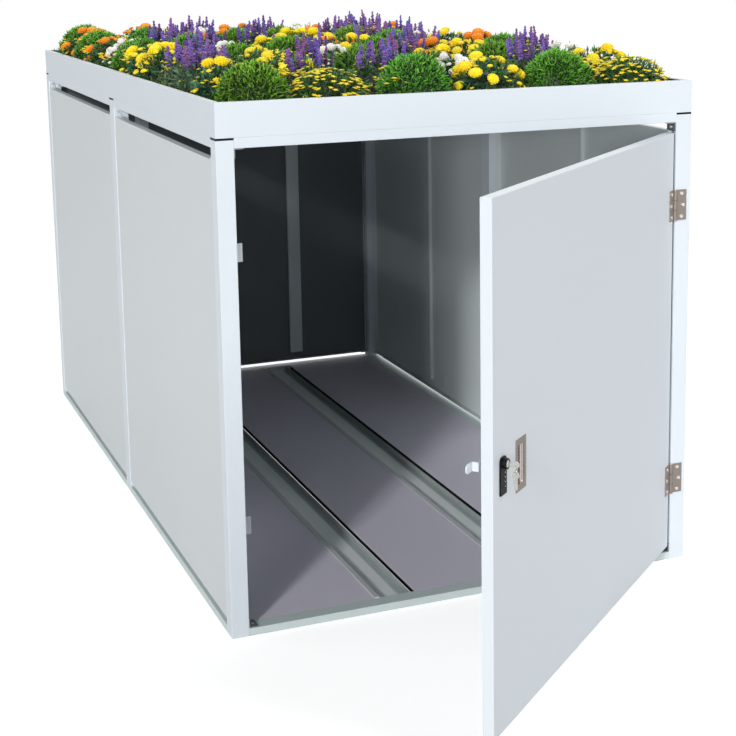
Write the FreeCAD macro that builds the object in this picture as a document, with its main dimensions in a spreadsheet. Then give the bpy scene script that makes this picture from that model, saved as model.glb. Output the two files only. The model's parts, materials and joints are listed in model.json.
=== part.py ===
# Bicycle locker for two bicycles with a planted roof.
# Frame: X is the width, the door front faces -Y, Z is up, and the origin is on the
# ground under the middle of the locker. The door stands open, as photographed.
import FreeCAD, Part
import math
import operator
import os
import Sketcher
from types import SimpleNamespace

Vector = FreeCAD.Vector
doc = FreeCAD.newDocument("bicycle_locker")
sheet = doc.addObject("Spreadsheet::Sheet", "sizes")

# Driving dimensions in millimetres and degrees
SIZES = (
    # Whole locker
    ("overall_width", 1300),
    ("overall_length", 2400),
    ("overall_height", 1330),
    # Posts and rails
    ("post_size", 45),
    ("post_wall", 3),
    ("mid_post_width", 60),
    ("cap_height", 5),
    ("rail_height", 25),
    ("rail_wall", 2),
    ("sill_height", 20),
    # Roof
    ("fascia_height", 85),
    ("fascia_sheet", 2),
    ("fascia_fold", 14),
    ("tray_gap", 1),
    ("tray_sheet", 1.5),
    ("beam_width", 40),
    ("beam_spacing", 700),
    ("drainage_depth", 15),
    ("soil_drop", 15),
    # Wall panels
    ("panel_sheet", 1.5),
    ("panel_flange", 20),
    ("panel_set_back", 2),
    ("panel_gap", 0.3),
    ("top_vent", 30),
    ("bottom_vent", 15),
    ("stiffener_width", 50),
    ("stiffener_depth", 12),
    ("stiffener_margin", 30),
    ("rear_stiffener_spacing", 600),
    # Brackets and their screws
    ("bracket_sheet", 3),
    ("panel_bracket_width", 18),
    ("panel_bracket_leg", 25),
    ("frame_bracket_width", 40),
    ("frame_bracket_leg", 24),
    ("screw_head_radius", 4.5),
    ("screw_head_height", 2),
    ("screw_radius", 2.5),
    ("screw_reach", 2),
    ("screw_offset", 10),
    # Floor
    ("floor_sheet", 2),
    ("channel_clear_width", 83),
    ("channel_wall", 2),
    ("channel_lip", 12),
    ("channel_slot", 14),
    ("channel_offset", 200),
    ("bearer_width", 30),
    ("bearer_inset", 5),
    # Door
    ("door_open_angle", 41),
    ("door_side_gap", 6),
    ("door_thickness", 26),
    ("door_sheet", 1.5),
    ("door_bottom", 40),
    ("door_top_gap", 28),
    ("door_stiffener_width", 30),
    ("hinge_stiffener_place", 75),
    ("lock_stiffener_place", 980),
    # Hinges
    ("hinge_height", 82),
    ("hinge_leaf_width", 36),
    ("hinge_leaf_sheet", 2.5),
    ("knuckle_radius", 5),
    ("knuckle_gap", 0.3),
    ("pin_radius", 3),
    ("pin_clearance", 0.05),
    ("pin_head_radius", 4.5),
    ("pin_head_height", 2),
    ("lower_hinge_middle", 235),
    ("upper_hinge_middle", 998),
    ("hinge_screw_place", 21),
    ("hinge_screw_stagger", 5),
    ("hinge_screw_spacing", 31),
    # Door stops and strike
    ("stop_reach", 20),
    ("stop_sheet", 4),
    ("stop_height", 45),
    ("lower_stop_middle", 278),
    ("upper_stop_middle", 965),
    ("stop_clearance", 0.5),
    ("strike_sheet", 1.5),
    ("strike_height", 36),
    ("strike_reach", 21),
    # Lock
    ("lock_place", 48),
    ("lock_middle", 635),
    ("lock_plate_width", 30),
    ("lock_plate_above", 14),
    ("lock_plate_below", 67),
    ("lock_plate_sheet", 4),
    ("lock_plate_corner", 6),
    ("lock_dot_radius", 1.6),
    ("lock_dot_height", 0.6),
    ("lock_dot_spacing", 10),
    ("lock_dot_drop", 19),
    ("lock_flange_radius", 11.5),
    ("lock_flange_length", 9),
    ("lock_barrel_radius", 10),
    ("lock_barrel_end", 2),
    ("lock_fit", 0.1),
    ("lock_nut_width", 28),
    ("lock_nut_height", 4),
    ("plug_radius", 7.5),
    ("plug_clearance", 0.05),
    ("plug_tang_radius", 4),
    ("plug_end", 1),
    ("cam_sheet", 3),
    ("cam_height", 20),
    ("cam_reach", 73),
    ("cam_joggle_place", 42),
    ("cam_heel", 12),
    ("cam_clearance", 0.5),
    ("cam_tip_round", 9),
    ("cam_screw_radius", 7),
    ("cam_screw_height", 3),
    # Keys and their ring
    ("key_sheet", 2.2),
    ("key_blade_height", 8),
    ("key_blade_length", 24),
    ("key_neck", 9),
    ("key_bow_radius", 8),
    ("key_hole_radius", 2.5),
    ("key_hole_drop", 4),
    ("key_clearance", 0.1),
    ("ring_radius", 6),
    ("ring_wire_radius", 0.9),
    ("ring_clearance", 0.3),
    ("spare_blade_length", 23),
    # Recessed pull
    ("pull_place", 145),
    ("pull_middle", 604),
    ("pull_width", 54),
    ("pull_height", 115),
    ("pull_recess_width", 30),
    ("pull_recess_height", 86),
    ("pull_recess_depth", 16),
    ("pull_sheet", 1.5),
    ("pull_clearance", 0.3),
    # Plants: least spacing, then each kind's half width and height over the soil
    ("plant_spacing", 197),
    ("box_bush_radius", 97),
    ("box_bush_height", 108),
    ("marigold_radius", 92),
    ("marigold_height", 100),
    ("salvia_radius", 84),
    ("salvia_height", 165),
    ("white_bloom_radius", 82),
    ("white_bloom_height", 98),
    ("bidens_radius", 92),
    ("bidens_height", 72),
)

# Planting plan, one letter per clump: front row first, and left to right
PLANTING = (
    "BDBYBD",
    "YSSWSY",
    "SYBYBW",
    "SYWSYS",
    "YBSBOB",
    "YWBYSO",
    "BSYOBY",
    "WBSYSW",
    "OSBYBS",
    "BSOBSO",
    "OBWSOS",
    "BOSOWS",
)

# How far a cutting solid runs past the faces that it cuts
OVERRUN = 1

OPERATIONS = {"+": operator.add, "-": operator.sub, "*": operator.mul, "/": operator.truediv}


class Size:
    """A measure with its number and the rule by which it follows from the sheet."""

    def __init__(self, rule, number):
        self.rule = rule
        self.number = number

    def __add__(self, other):
        return joined(self, "+", other)

    def __radd__(self, other):
        return joined(other, "+", self)

    def __sub__(self, other):
        return joined(self, "-", other)

    def __rsub__(self, other):
        return joined(other, "-", self)

    def __mul__(self, other):
        return joined(self, "*", other)

    def __rmul__(self, other):
        return joined(other, "*", self)

    def __truediv__(self, other):
        return joined(self, "/", other)

    def __neg__(self):
        return joined(0, "-", self)


def sized(value):
    return value if isinstance(value, Size) else Size("(%r)" % value, value)


def joined(first, sign, second):
    first = sized(first)
    second = sized(second)
    rule = "(%s %s %s)" % (first.rule, sign, second.rule)
    return Size(rule, OPERATIONS[sign](first.number, second.number))


def cosine(angle):
    return Size("cos(%s * 1 deg)" % angle.rule, math.cos(math.radians(angle.number)))


def sine(angle):
    return Size("sin(%s * 1 deg)" % angle.rule, math.sin(math.radians(angle.number)))


def fill_sheet():
    for row, (name, number) in enumerate(SIZES, start=1):
        sheet.set("A%d" % row, name.replace("_", " "))
        sheet.set("B%d" % row, str(number))
        sheet.setAlias("B%d" % row, name)
    doc.recompute()
    return SimpleNamespace(**{name: Size("sizes." + name, float(sheet.get(name))) for name, _ in SIZES})


s = fill_sheet()

# Places that follow from the driving dimensions
left = -s.overall_width / 2
right = s.overall_width / 2
front = -s.overall_length / 2
rear = s.overall_length / 2
left_inside = left + s.post_size
right_inside = right - s.post_size
front_inside = front + s.post_size
rear_inside = rear - s.post_size
frame_top = s.overall_height - s.fascia_height
rail_bottom = frame_top - s.rail_height
post_top = frame_top - s.cap_height
panel_top = rail_bottom - s.top_vent
panel_bottom = s.sill_height + s.bottom_vent
floor_top = s.sill_height
mid_front = -s.mid_post_width / 2
mid_rear = s.mid_post_width / 2
panel_left = left + s.panel_set_back
panel_right = right - s.panel_set_back
panel_rear = rear - s.panel_set_back
tray_floor = frame_top + s.fascia_sheet
soil_top = s.overall_height - s.soil_drop

# Hinge axis, and the door seen from it while shut: -X runs to the free edge
hinge_x = right_inside - s.door_side_gap / 2
hinge_y = front - s.knuckle_radius
door_right = -s.door_side_gap / 2
door_width = s.overall_width - 2 * s.post_size - 2 * s.door_side_gap
door_left = door_right - door_width
door_face = s.knuckle_radius
door_back_face = door_face + s.door_thickness
door_top = rail_bottom - s.door_top_gap
lock_x = door_left + s.lock_place
pull_x = door_left + s.pull_place

nodes = []


def bind(piece, path, value):
    """Ties one property of a piece to the sheet."""
    piece.setExpression(path, sized(value).rule)


def place(piece, at, on_door=False):
    """Places a piece; one on the door is given from the hinge axis, as if shut."""
    x, y, z = at
    if on_door:
        along = cosine(s.door_open_angle)
        across = sine(s.door_open_angle)
        bind(piece, "Placement.Rotation.Angle", s.door_open_angle * Size("1 deg", 1))
        x, y = hinge_x + x * along - y * across, hinge_y + x * across + y * along
    bind(piece, "Placement.Base.x", x)
    bind(piece, "Placement.Base.y", y)
    bind(piece, "Placement.Base.z", z)
    return piece


def node(piece, name):
    """Names a finished sub-part and lists it for writing."""
    piece.Label = name
    nodes.append(piece)
    return piece


def box(name, at, extent, on_door=False):
    piece = doc.addObject("Part::Box", name)
    for side, length in zip(("Length", "Width", "Height"), extent):
        bind(piece, side, length)
    return place(piece, at, on_door)


# Turns that bring a cylinder from Z onto another axis
AXIS_TURNS = {
    "x": FreeCAD.Rotation(Vector(0, 1, 0), 90),
    "y": FreeCAD.Rotation(Vector(1, 0, 0), -90),
    "z": FreeCAD.Rotation(),
}


def cylinder(name, axis, at, radius, length, on_door=False):
    piece = doc.addObject("Part::Cylinder", name)
    bind(piece, "Radius", radius)
    bind(piece, "Height", length)
    piece.Placement = FreeCAD.Placement(Vector(), AXIS_TURNS[axis])
    return place(piece, at, on_door)


def fuse(name, shapes):
    if len(shapes) == 1:
        return shapes[0]
    piece = doc.addObject("Part::MultiFuse", name)
    piece.Shapes = shapes
    return piece


def cut(name, base, tools, at=(0, 0, 0), on_door=False):
    piece = doc.addObject("Part::Cut", name)
    piece.Base = base
    piece.Tool = fuse(name + "_tools", tools)
    return place(piece, at, on_door)


def tube(name, at, extent, wall, axis, holes=()):
    """A rectangular tube that is open along one axis, with round holes where asked."""
    outer = box(name + "_outer", (0, 0, 0), extent)
    hollow_at = [wall, wall, wall]
    hollow = [length - 2 * wall for length in extent]
    hollow_at[axis] = -OVERRUN
    hollow[axis] = extent[axis] + 2 * OVERRUN
    tools = [box(name + "_hollow", hollow_at, hollow)]
    for number, (direction, centre, radius, length) in enumerate(holes):
        tools.append(cylinder("%s_hole_%d" % (name, number), direction, centre, radius, length))
    return cut(name, outer, tools, at)


def compound(name, shapes, at=(0, 0, 0), on_door=False):
    piece = doc.addObject("Part::Compound", name)
    piece.Links = shapes
    return place(piece, at, on_door)


def origin_plane(body, role):
    return [feature for feature in body.Origin.OriginFeatures if feature.Role == role][0]


def fix(sketch, geometry, point, coordinates):
    """Fixes a point of a sketch by its distance from both axes."""
    for kind, axis, value in (("DistanceX", -2, coordinates[0]), ("DistanceY", -1, coordinates[1])):
        value = sized(value)
        if abs(value.number) < 1e-6:
            sketch.addConstraint(Sketcher.Constraint("PointOnObject", geometry, point, axis))
            continue
        index = sketch.addConstraint(Sketcher.Constraint(kind, -1, 1, geometry, point, value.number))
        bind(sketch, "Constraints[%d]" % index, value)


def draw_outline(sketch, points):
    first = sketch.GeometryCount
    numbers = [Vector(sized(u).number, sized(v).number, 0) for u, v in points]
    for index, start in enumerate(numbers):
        end = numbers[(index + 1) % len(numbers)]
        sketch.addGeometry(Part.LineSegment(start, end), False)
    for index in range(len(points)):
        following = first + (index + 1) % len(points)
        sketch.addConstraint(Sketcher.Constraint("Coincident", first + index, 2, following, 1))
    for index, point in enumerate(points):
        fix(sketch, first + index, 1, point)


def draw_circle(sketch, centre, radius):
    u, v = (sized(value).number for value in centre)
    circle = sketch.addGeometry(Part.Circle(Vector(u, v, 0), Vector(0, 0, 1), radius.number), False)
    fix(sketch, circle, 3, centre)
    index = sketch.addConstraint(Sketcher.Constraint("Radius", circle, radius.number))
    bind(sketch, "Constraints[%d]" % index, radius)


def sketched_body(name, role, outlines, circles=()):
    body = doc.addObject("PartDesign::Body", name)
    sketch = body.newObject("Sketcher::SketchObject", name + "_sketch")
    sketch.AttachmentSupport = (origin_plane(body, role), [""])
    sketch.MapMode = "FlatFace"
    for points in outlines:
        draw_outline(sketch, points)
    for centre, radius in circles:
        draw_circle(sketch, centre, radius)
    return body, sketch


def extrusion(name, role, outlines, start, length, at, on_door=False, circles=()):
    """A profile drawn on an origin plane and extruded along the axis across it."""
    body, sketch = sketched_body(name, role, outlines, circles)
    # The XZ plane looks along -Y, so its profile is drawn on the far face
    offset = -(start + length) if role == "XZ_Plane" else start
    bind(sketch, "AttachmentOffset.Base.z", offset)
    pad = body.newObject("PartDesign::Pad", name + "_pad")
    pad.Profile = sketch
    bind(pad, "Length", length)
    body.Tip = pad
    return place(body, at, on_door)


def turned_piece(name, role, outline, at, on_door=False):
    """A profile of radius and height, revolved around the plane's upright axis."""
    body, sketch = sketched_body(name, role, [outline])
    spin = body.newObject("PartDesign::Revolution", name + "_turn")
    spin.Profile = sketch
    spin.ReferenceAxis = (sketch, ["V_Axis"])
    spin.Angle = 360
    body.Tip = spin
    return place(body, at, on_door)


def group(name, shapes, at=(0, 0, 0), on_door=False):
    """Like pieces that share one node, each a solid of its own."""
    piece = doc.addObject("Part::Feature", name)
    piece.Shape = Part.Compound(shapes)
    place(piece, at, on_door)
    return node(piece, name)


def numbers(point):
    return Vector(*(sized(value).number for value in point))


def solid_box(low, high):
    low = numbers(low)
    high = numbers(high)
    extent = high - low
    return Part.makeBox(extent.x, extent.y, extent.z, low)


def screw_shape(surface, outward, grip):
    """A button head screw: its head on a surface and its shank through a grip."""
    surface = numbers(surface)
    outward = Vector(*outward)
    head = Part.makeCylinder(s.screw_head_radius.number, s.screw_head_height.number, surface, outward)
    length = sized(grip).number + s.screw_reach.number
    shank = Part.makeCylinder(s.screw_radius.number, length, surface, -outward)
    return head.fuse(shank).removeSplitter()


# Wall panel brackets: one at each end of every vent gap, against the post's face
def side_bays():
    """The four side bays, as wall side (-1 left, 1 right) and the ends along Y."""
    for side in (-1, 1):
        yield side, front_inside, mid_front
        yield side, mid_rear, rear_inside


def bracket_levels():
    """Both vent gaps: low end, high end, and where the leg on the panel lies."""
    yield panel_top, rail_bottom, panel_top
    yield s.sill_height, panel_bottom, panel_bottom - s.bracket_sheet


def bracket_screw_height(low, high, leg):
    """Screws sit in the middle of what the leg on the panel leaves free."""
    if leg is low:
        return (low + s.bracket_sheet + high) / 2
    return (low + leg) / 2


bracket_gap_edge = s.panel_set_back + s.panel_sheet
bracket_screw_inset = bracket_gap_edge + s.panel_bracket_width / 2


def side_bracket(side, post_face, inward, low, high, leg):
    """An angle in a side wall: one leg on the post, one on the panel's flange."""
    outer = side * (s.overall_width / 2 - bracket_gap_edge)
    inner = outer - side * s.panel_bracket_width
    x_low, x_high = (outer, inner) if side < 0 else (inner, outer)
    upright_end = post_face + inward * s.bracket_sheet
    flat_end = post_face + inward * s.panel_bracket_leg
    y_upright = (post_face, upright_end) if inward > 0 else (upright_end, post_face)
    y_flat = (post_face, flat_end) if inward > 0 else (flat_end, post_face)
    upright = solid_box((x_low, y_upright[0], low), (x_high, y_upright[1], high))
    flat = solid_box((x_low, y_flat[0], leg), (x_high, y_flat[1], leg + s.bracket_sheet))
    height = bracket_screw_height(low, high, leg)
    hole_x = side * (s.overall_width / 2 - bracket_screw_inset)
    hole = Part.makeCylinder(
        s.screw_radius.number,
        s.bracket_sheet.number + 2 * OVERRUN,
        numbers((hole_x, post_face - inward * OVERRUN, height)),
        Vector(0, inward, 0),
    )
    return upright.fuse(flat).cut(hole).removeSplitter()


def rear_bracket(side, low, high, leg):
    """The same angle at an end of the rear wall."""
    post_face = side * (s.overall_width / 2 - s.post_size)
    outer = rear - bracket_gap_edge
    inner = outer - s.panel_bracket_width
    ends = sorted((post_face.number, (post_face - side * s.bracket_sheet).number))
    flat_ends = sorted((post_face.number, (post_face - side * s.panel_bracket_leg).number))
    upright = solid_box((ends[0], inner, low), (ends[1], outer, high))
    flat = solid_box((flat_ends[0], inner, leg), (flat_ends[1], outer, leg + s.bracket_sheet))
    height = bracket_screw_height(low, high, leg)
    hole = Part.makeCylinder(
        s.screw_radius.number,
        s.bracket_sheet.number + 2 * OVERRUN,
        numbers((post_face + side * OVERRUN, rear - bracket_screw_inset, height)),
        Vector(-side, 0, 0),
    )
    return upright.fuse(flat).cut(hole).removeSplitter()


def build_panel_brackets():
    brackets = []
    screws = []
    grip = s.bracket_sheet + s.post_wall
    for low, high, leg in bracket_levels():
        height = bracket_screw_height(low, high, leg)
        for side, start, end in side_bays():
            x = side * (s.overall_width / 2 - bracket_screw_inset)
            for face, inward in ((start, 1), (end, -1)):
                brackets.append(side_bracket(side, face, inward, low, high, leg))
                surface = (x, face + inward * s.bracket_sheet, height)
                screws.append(screw_shape(surface, (0, inward, 0), grip))
        for side in (-1, 1):
            brackets.append(rear_bracket(side, low, high, leg))
            face = side * (s.overall_width / 2 - s.post_size - s.bracket_sheet)
            surface = (face, rear - bracket_screw_inset, height)
            screws.append(screw_shape(surface, (-side, 0, 0), grip))
    group("panel_brackets", brackets)
    return screws


# Front frame brackets: under the lintel and on the sill, at both posts
frame_bracket_front = front + (s.post_size - s.frame_bracket_width) / 2
frame_bracket_middle = front + s.post_size / 2
frame_screw_place = s.bracket_sheet + (s.frame_bracket_leg - s.bracket_sheet) / 2


def build_frame_brackets():
    brackets = []
    screws = []
    back = frame_bracket_front + s.frame_bracket_width
    reach = s.screw_radius.number
    for side in (-1, 1):
        face = side * (s.overall_width / 2 - s.post_size)
        for level, up in ((s.sill_height, 1), (rail_bottom, -1)):
            upright_x = sorted((face.number, (face - side * s.bracket_sheet).number))
            flat_x = sorted((face.number, (face - side * s.frame_bracket_leg).number))
            upright_z = sorted((level.number, (level + up * s.frame_bracket_leg).number))
            flat_z = sorted((level.number, (level + up * s.bracket_sheet).number))
            low, high = zip(upright_x, (frame_bracket_front.number, back.number), upright_z)
            upright = solid_box(low, high)
            low, high = zip(flat_x, (frame_bracket_front.number, back.number), flat_z)
            flat = solid_box(low, high)
            on_post = (face - side * s.bracket_sheet, frame_bracket_middle, level + up * frame_screw_place)
            on_rail = (face - side * frame_screw_place, frame_bracket_middle, level + up * s.bracket_sheet)
            length = s.bracket_sheet.number + 2 * OVERRUN
            out_of_post = Vector(side, 0, 0)
            out_of_rail = Vector(0, 0, -up)
            start = numbers(on_post) - out_of_post * OVERRUN
            post_hole = Part.makeCylinder(reach, length, start, out_of_post)
            start = numbers(on_rail) - out_of_rail * OVERRUN
            rail_hole = Part.makeCylinder(reach, length, start, out_of_rail)
            brackets.append(upright.fuse(flat).cut(post_hole).cut(rail_hole).removeSplitter())
            screws.append(screw_shape(on_post, (-side, 0, 0), s.bracket_sheet + s.post_wall))
            screws.append(screw_shape(on_rail, (0, 0, up), s.bracket_sheet + s.rail_wall))
    group("frame_brackets", brackets)
    return screws


# Screw holes in the posts, given from each post's own corner
def panel_screw_heights():
    return [bracket_screw_height(low, high, leg) for low, high, leg in bracket_levels()]


def frame_screw_heights():
    return [s.sill_height + frame_screw_place, rail_bottom - frame_screw_place]


def side_wall_holes(side, width, faces):
    """Holes for a side wall's brackets; faces names which Y faces carry one."""
    inset = bracket_screw_inset if side < 0 else s.post_size - bracket_screw_inset
    for height in panel_screw_heights():
        if "front" in faces:
            yield "y", (inset, -OVERRUN, height), s.screw_radius, s.post_wall + 2 * OVERRUN
        if "rear" in faces:
            start = width - s.post_wall - OVERRUN
            yield "y", (inset, start, height), s.screw_radius, s.post_wall + 2 * OVERRUN


def inner_face_holes(side, along, heights):
    """Holes in a post's face towards the middle of the locker."""
    start = s.post_size - s.post_wall - OVERRUN if side < 0 else -OVERRUN
    for height in heights:
        yield "x", (start, along, height), s.screw_radius, s.post_wall + 2 * OVERRUN


def hinge_screw_points():
    """Screw places on one leaf, from the hinge's middle: outward and up."""
    yield s.hinge_screw_place, -s.hinge_screw_spacing
    yield s.hinge_screw_place + s.hinge_screw_stagger, sized(0)
    yield s.hinge_screw_place, s.hinge_screw_spacing


HINGES = (("lower", s.lower_hinge_middle), ("upper", s.upper_hinge_middle))


def hinge_post_holes():
    for _, middle in HINGES:
        for outward, up in hinge_screw_points():
            x = s.door_side_gap / -2 + outward
            yield "y", (x, -OVERRUN, middle + up), s.screw_radius, s.post_wall + 2 * OVERRUN


def build_posts():
    middle = s.post_size / 2
    rear_row = s.post_size - bracket_screw_inset
    extent = (s.post_size, s.post_size, post_top)
    middle_posts = []
    for side, word, x in ((-1, "left", left), (1, "right", right_inside)):
        holes = list(side_wall_holes(side, s.post_size, ("rear",)))
        holes += inner_face_holes(side, middle, frame_screw_heights())
        if side > 0:
            holes += hinge_post_holes()
        post = tube("post_front_" + word, (x, front, 0), extent, s.post_wall, 2, holes)
        node(post, "post_front_" + word)
        holes = list(side_wall_holes(side, s.post_size, ("front",)))
        holes += inner_face_holes(side, rear_row, panel_screw_heights())
        post = tube("post_rear_" + word, (x, rear_inside, 0), extent, s.post_wall, 2, holes)
        node(post, "post_rear_" + word)
        holes = side_wall_holes(side, s.mid_post_width, ("front", "rear"))
        mid_extent = (s.post_size, s.mid_post_width, post_top)
        middle_posts.append(tube("post_middle_" + word, (x, mid_front, 0), mid_extent, s.post_wall, 2, holes))
    node(compound("posts_middle", middle_posts), "posts_middle")


def build_post_caps():
    caps = []
    for x in (left, right_inside):
        for y, width in ((front, s.post_size), (mid_front, s.mid_post_width), (rear_inside, s.post_size)):
            caps.append(box("cap", (x, y, 0), (s.post_size, width, s.cap_height)))
    node(compound("post_caps", caps, (0, 0, post_top)), "post_caps")


def build_rails():
    span = right_inside - left_inside
    for name, z, height, y, up in (
        ("lintel", rail_bottom, s.rail_height, front, 0),
        ("sill", sized(0), s.sill_height, front, 1),
        ("rear_top_rail", rail_bottom, s.rail_height, rear_inside, None),
        ("rear_bottom_rail", sized(0), s.sill_height, rear_inside, None),
    ):
        holes = []
        if up is not None:
            start = height - s.rail_wall - OVERRUN if up else -OVERRUN
            for x in (frame_screw_place, span - frame_screw_place):
                centre = (x, s.post_size / 2, start)
                holes.append(("z", centre, s.screw_radius, s.rail_wall + 2 * OVERRUN))
        rail = tube(name, (left_inside, y, z), (span, s.post_size, height), s.rail_wall, 0, holes)
        node(rail, name)
    for name, z, height in (
        ("side_top_rails", rail_bottom, s.rail_height),
        ("side_bottom_rails", sized(0), s.sill_height),
    ):
        rails = []
        for side, start, end in side_bays():
            x = left if side < 0 else right_inside
            extent = (s.post_size, end - start, height)
            rails.append(tube(name + "_piece", (x, start, 0), extent, s.rail_wall, 1))
        node(compound(name, rails, (0, 0, z)), name)


# Wall panels: folded trays with their open side towards the inside
def folded_tray(name, at, extent, sheet, axis, open_low):
    """A tray folded from one sheet; it is open at the low or the high end of an axis."""
    outer = box(name + "_outer", (0, 0, 0), extent)
    hollow_at = [sheet, sheet, sheet]
    hollow = [length - 2 * sheet for length in extent]
    hollow[axis] = extent[axis] - sheet + OVERRUN
    if open_low:
        hollow_at[axis] = -OVERRUN
    tool = box(name + "_hollow", hollow_at, hollow)
    return cut(name, outer, [tool], at)


def build_panels():
    height = panel_top - panel_bottom
    for side, start, end in side_bays():
        word = "left" if side < 0 else "right"
        place_word = "front" if start is front_inside else "rear"
        name = "panel_%s_%s" % (word, place_word)
        x = panel_left if side < 0 else panel_right - s.panel_flange
        extent = (s.panel_flange, end - start - 2 * s.panel_gap, height)
        at = (x, start + s.panel_gap, panel_bottom)
        node(folded_tray(name, at, extent, s.panel_sheet, 0, side > 0), name)
    span = right_inside - left_inside - 2 * s.panel_gap
    at = (left_inside + s.panel_gap, panel_rear - s.panel_flange, panel_bottom)
    extent = (span, s.panel_flange, height)
    node(folded_tray("panel_rear", at, extent, s.panel_sheet, 1, True), "panel_rear")


def build_panel_stiffeners():
    height = panel_top - panel_bottom - 2 * s.stiffener_margin
    extent = (s.stiffener_depth, s.stiffener_width, height)
    strips = []
    for side, start, end in side_bays():
        sheet_face = panel_left + s.panel_sheet
        x = sheet_face if side < 0 else panel_right - s.panel_sheet - s.stiffener_depth
        y = (start + end - s.stiffener_width) / 2
        strips.append(tube("side_stiffener", (x, y, 0), extent, s.panel_sheet, 2))
    extent = (s.stiffener_width, s.stiffener_depth, height)
    y = panel_rear - s.panel_sheet - s.stiffener_depth
    for side in (-1, 1):
        x = (side * s.rear_stiffener_spacing - s.stiffener_width) / 2
        strips.append(tube("rear_stiffener", (x, y, 0), extent, s.panel_sheet, 2))
    at = (0, 0, panel_bottom + s.stiffener_margin)
    node(compound("panel_stiffeners", strips, at), "panel_stiffeners")


# Floor: two sunk wheel channels between three plates, which lie on bearers
channel_half = s.channel_clear_width / 2


def plate_spans():
    """The floor plates' ends across the locker; a plate's right end meets a channel."""
    channel_left = channel_half + s.channel_wall
    channel_right = channel_half + s.channel_wall + s.channel_slot
    yield "floor_plate_left", left_inside, -s.channel_offset - channel_left
    yield "floor_plate_middle", -s.channel_offset + channel_right, s.channel_offset - channel_left
    yield "floor_plate_right", s.channel_offset + channel_right, right_inside


def build_floor():
    length = rear_inside - front_inside
    wall = channel_half + s.channel_wall
    profile = (
        (-wall, sized(0)),
        (wall, sized(0)),
        (wall, floor_top),
        (channel_half, floor_top),
        (channel_half, s.channel_wall),
        (-channel_half, s.channel_wall),
        (-channel_half, floor_top + s.channel_wall),
        (-wall - s.channel_lip, floor_top + s.channel_wall),
        (-wall - s.channel_lip, floor_top),
        (-wall, floor_top),
    )
    channels = []
    for side in (-1, 1):
        at = (side * s.channel_offset, 0, 0)
        channels.append(extrusion("wheel_channel", "XZ_Plane", [profile], front_inside, length, at))
    node(compound("wheel_channels", channels), "wheel_channels")
    bearer_height = floor_top - s.floor_sheet
    bearers = []
    for name, start, end in plate_spans():
        at = (start, front_inside, bearer_height)
        node(box(name, at, (end - start, length, s.floor_sheet)), name)
        last = end - s.bearer_inset - s.bearer_width
        for x in (start + s.bearer_inset, (start + end - s.bearer_width) / 2, last):
            extent = (s.bearer_width, length, bearer_height)
            bearers.append(tube("bearer", (x, front_inside, 0), extent, s.rail_wall, 1))
    node(compound("floor_bearers", bearers), "floor_bearers")


# Roof: fascia of four folded sheets, a planting tray on cross beams, and its layers
def build_fascia():
    sheet_edge = s.fascia_sheet
    fold = s.fascia_fold - s.fascia_sheet
    fold_heights = (frame_top, s.overall_height - s.fascia_sheet)
    for name, at_front in (("fascia_front", True), ("fascia_rear", False)):
        web_y = front if at_front else rear - sheet_edge
        fold_y = front + sheet_edge if at_front else rear - s.fascia_fold
        web = box(name + "_web", (left, web_y, frame_top), (s.overall_width, sheet_edge, s.fascia_height))
        shapes = [web]
        for z in fold_heights:
            extent = (s.overall_width - 2 * sheet_edge, fold, s.fascia_sheet)
            shapes.append(box(name + "_fold", (left + sheet_edge, fold_y, z), extent))
        node(fuse(name, shapes), name)
    for name, at_left in (("fascia_left", True), ("fascia_right", False)):
        web_x = left if at_left else right - sheet_edge
        fold_x = left + sheet_edge if at_left else right - s.fascia_fold
        extent = (sheet_edge, s.overall_length - 2 * sheet_edge, s.fascia_height)
        shapes = [box(name + "_web", (web_x, front + sheet_edge, frame_top), extent)]
        for z in fold_heights:
            extent = (fold, s.overall_length - 2 * s.fascia_fold, s.fascia_sheet)
            shapes.append(box(name + "_fold", (fold_x, front + s.fascia_fold, z), extent))
        node(fuse(name, shapes), name)


def build_planting_bed():
    inset = s.fascia_sheet + s.tray_gap
    width = s.overall_width - 2 * inset
    length = s.overall_length - 2 * inset
    height = s.overall_height - s.fascia_sheet - s.tray_gap - tray_floor
    at = (left + inset, front + inset, tray_floor)
    tray = folded_tray("planting_tray", at, (width, length, height), s.tray_sheet, 2, False)
    node(tray, "planting_tray")
    bed_at = [at[0] + s.tray_sheet, at[1] + s.tray_sheet, tray_floor + s.tray_sheet]
    bed = [width - 2 * s.tray_sheet, length - 2 * s.tray_sheet]
    node(box("drainage_mat", bed_at, bed + [s.drainage_depth]), "drainage_mat")
    soil_at = bed_at[:2] + [bed_at[2] + s.drainage_depth]
    node(box("soil_bed", soil_at, bed + [soil_top - soil_at[2]]), "soil_bed")


def build_roof_beams():
    span = right_inside - left_inside
    extent = (span, s.beam_width, s.rail_height + s.fascia_sheet)
    beams = []
    for step in (-1, 0, 1):
        y = step * s.beam_spacing - s.beam_width / 2
        beams.append(tube("roof_beam", (left_inside, y, 0), extent, s.rail_wall, 0))
    node(compound("roof_beams", beams, (0, 0, rail_bottom)), "roof_beams")


# Planting: each clump is a dome on the soil, one node for each kind of plant
SPECIES = {
    "B": ("box_bushes", s.box_bush_radius, s.box_bush_height),
    "Y": ("marigolds_yellow", s.marigold_radius, s.marigold_height),
    "O": ("marigolds_orange", s.marigold_radius, s.marigold_height),
    "S": ("salvias", s.salvia_radius, s.salvia_height),
    "W": ("white_blooms", s.white_bloom_radius, s.white_bloom_height),
    "D": ("bidens", s.bidens_radius, s.bidens_height),
}


def clump(name, x, y, radius, height):
    dome = doc.addObject("Part::Ellipsoid", name)
    bind(dome, "Radius1", height)
    bind(dome, "Radius2", radius)
    bind(dome, "Radius3", radius)
    dome.Angle1 = 0
    return place(dome, (x, y, 0))


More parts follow.
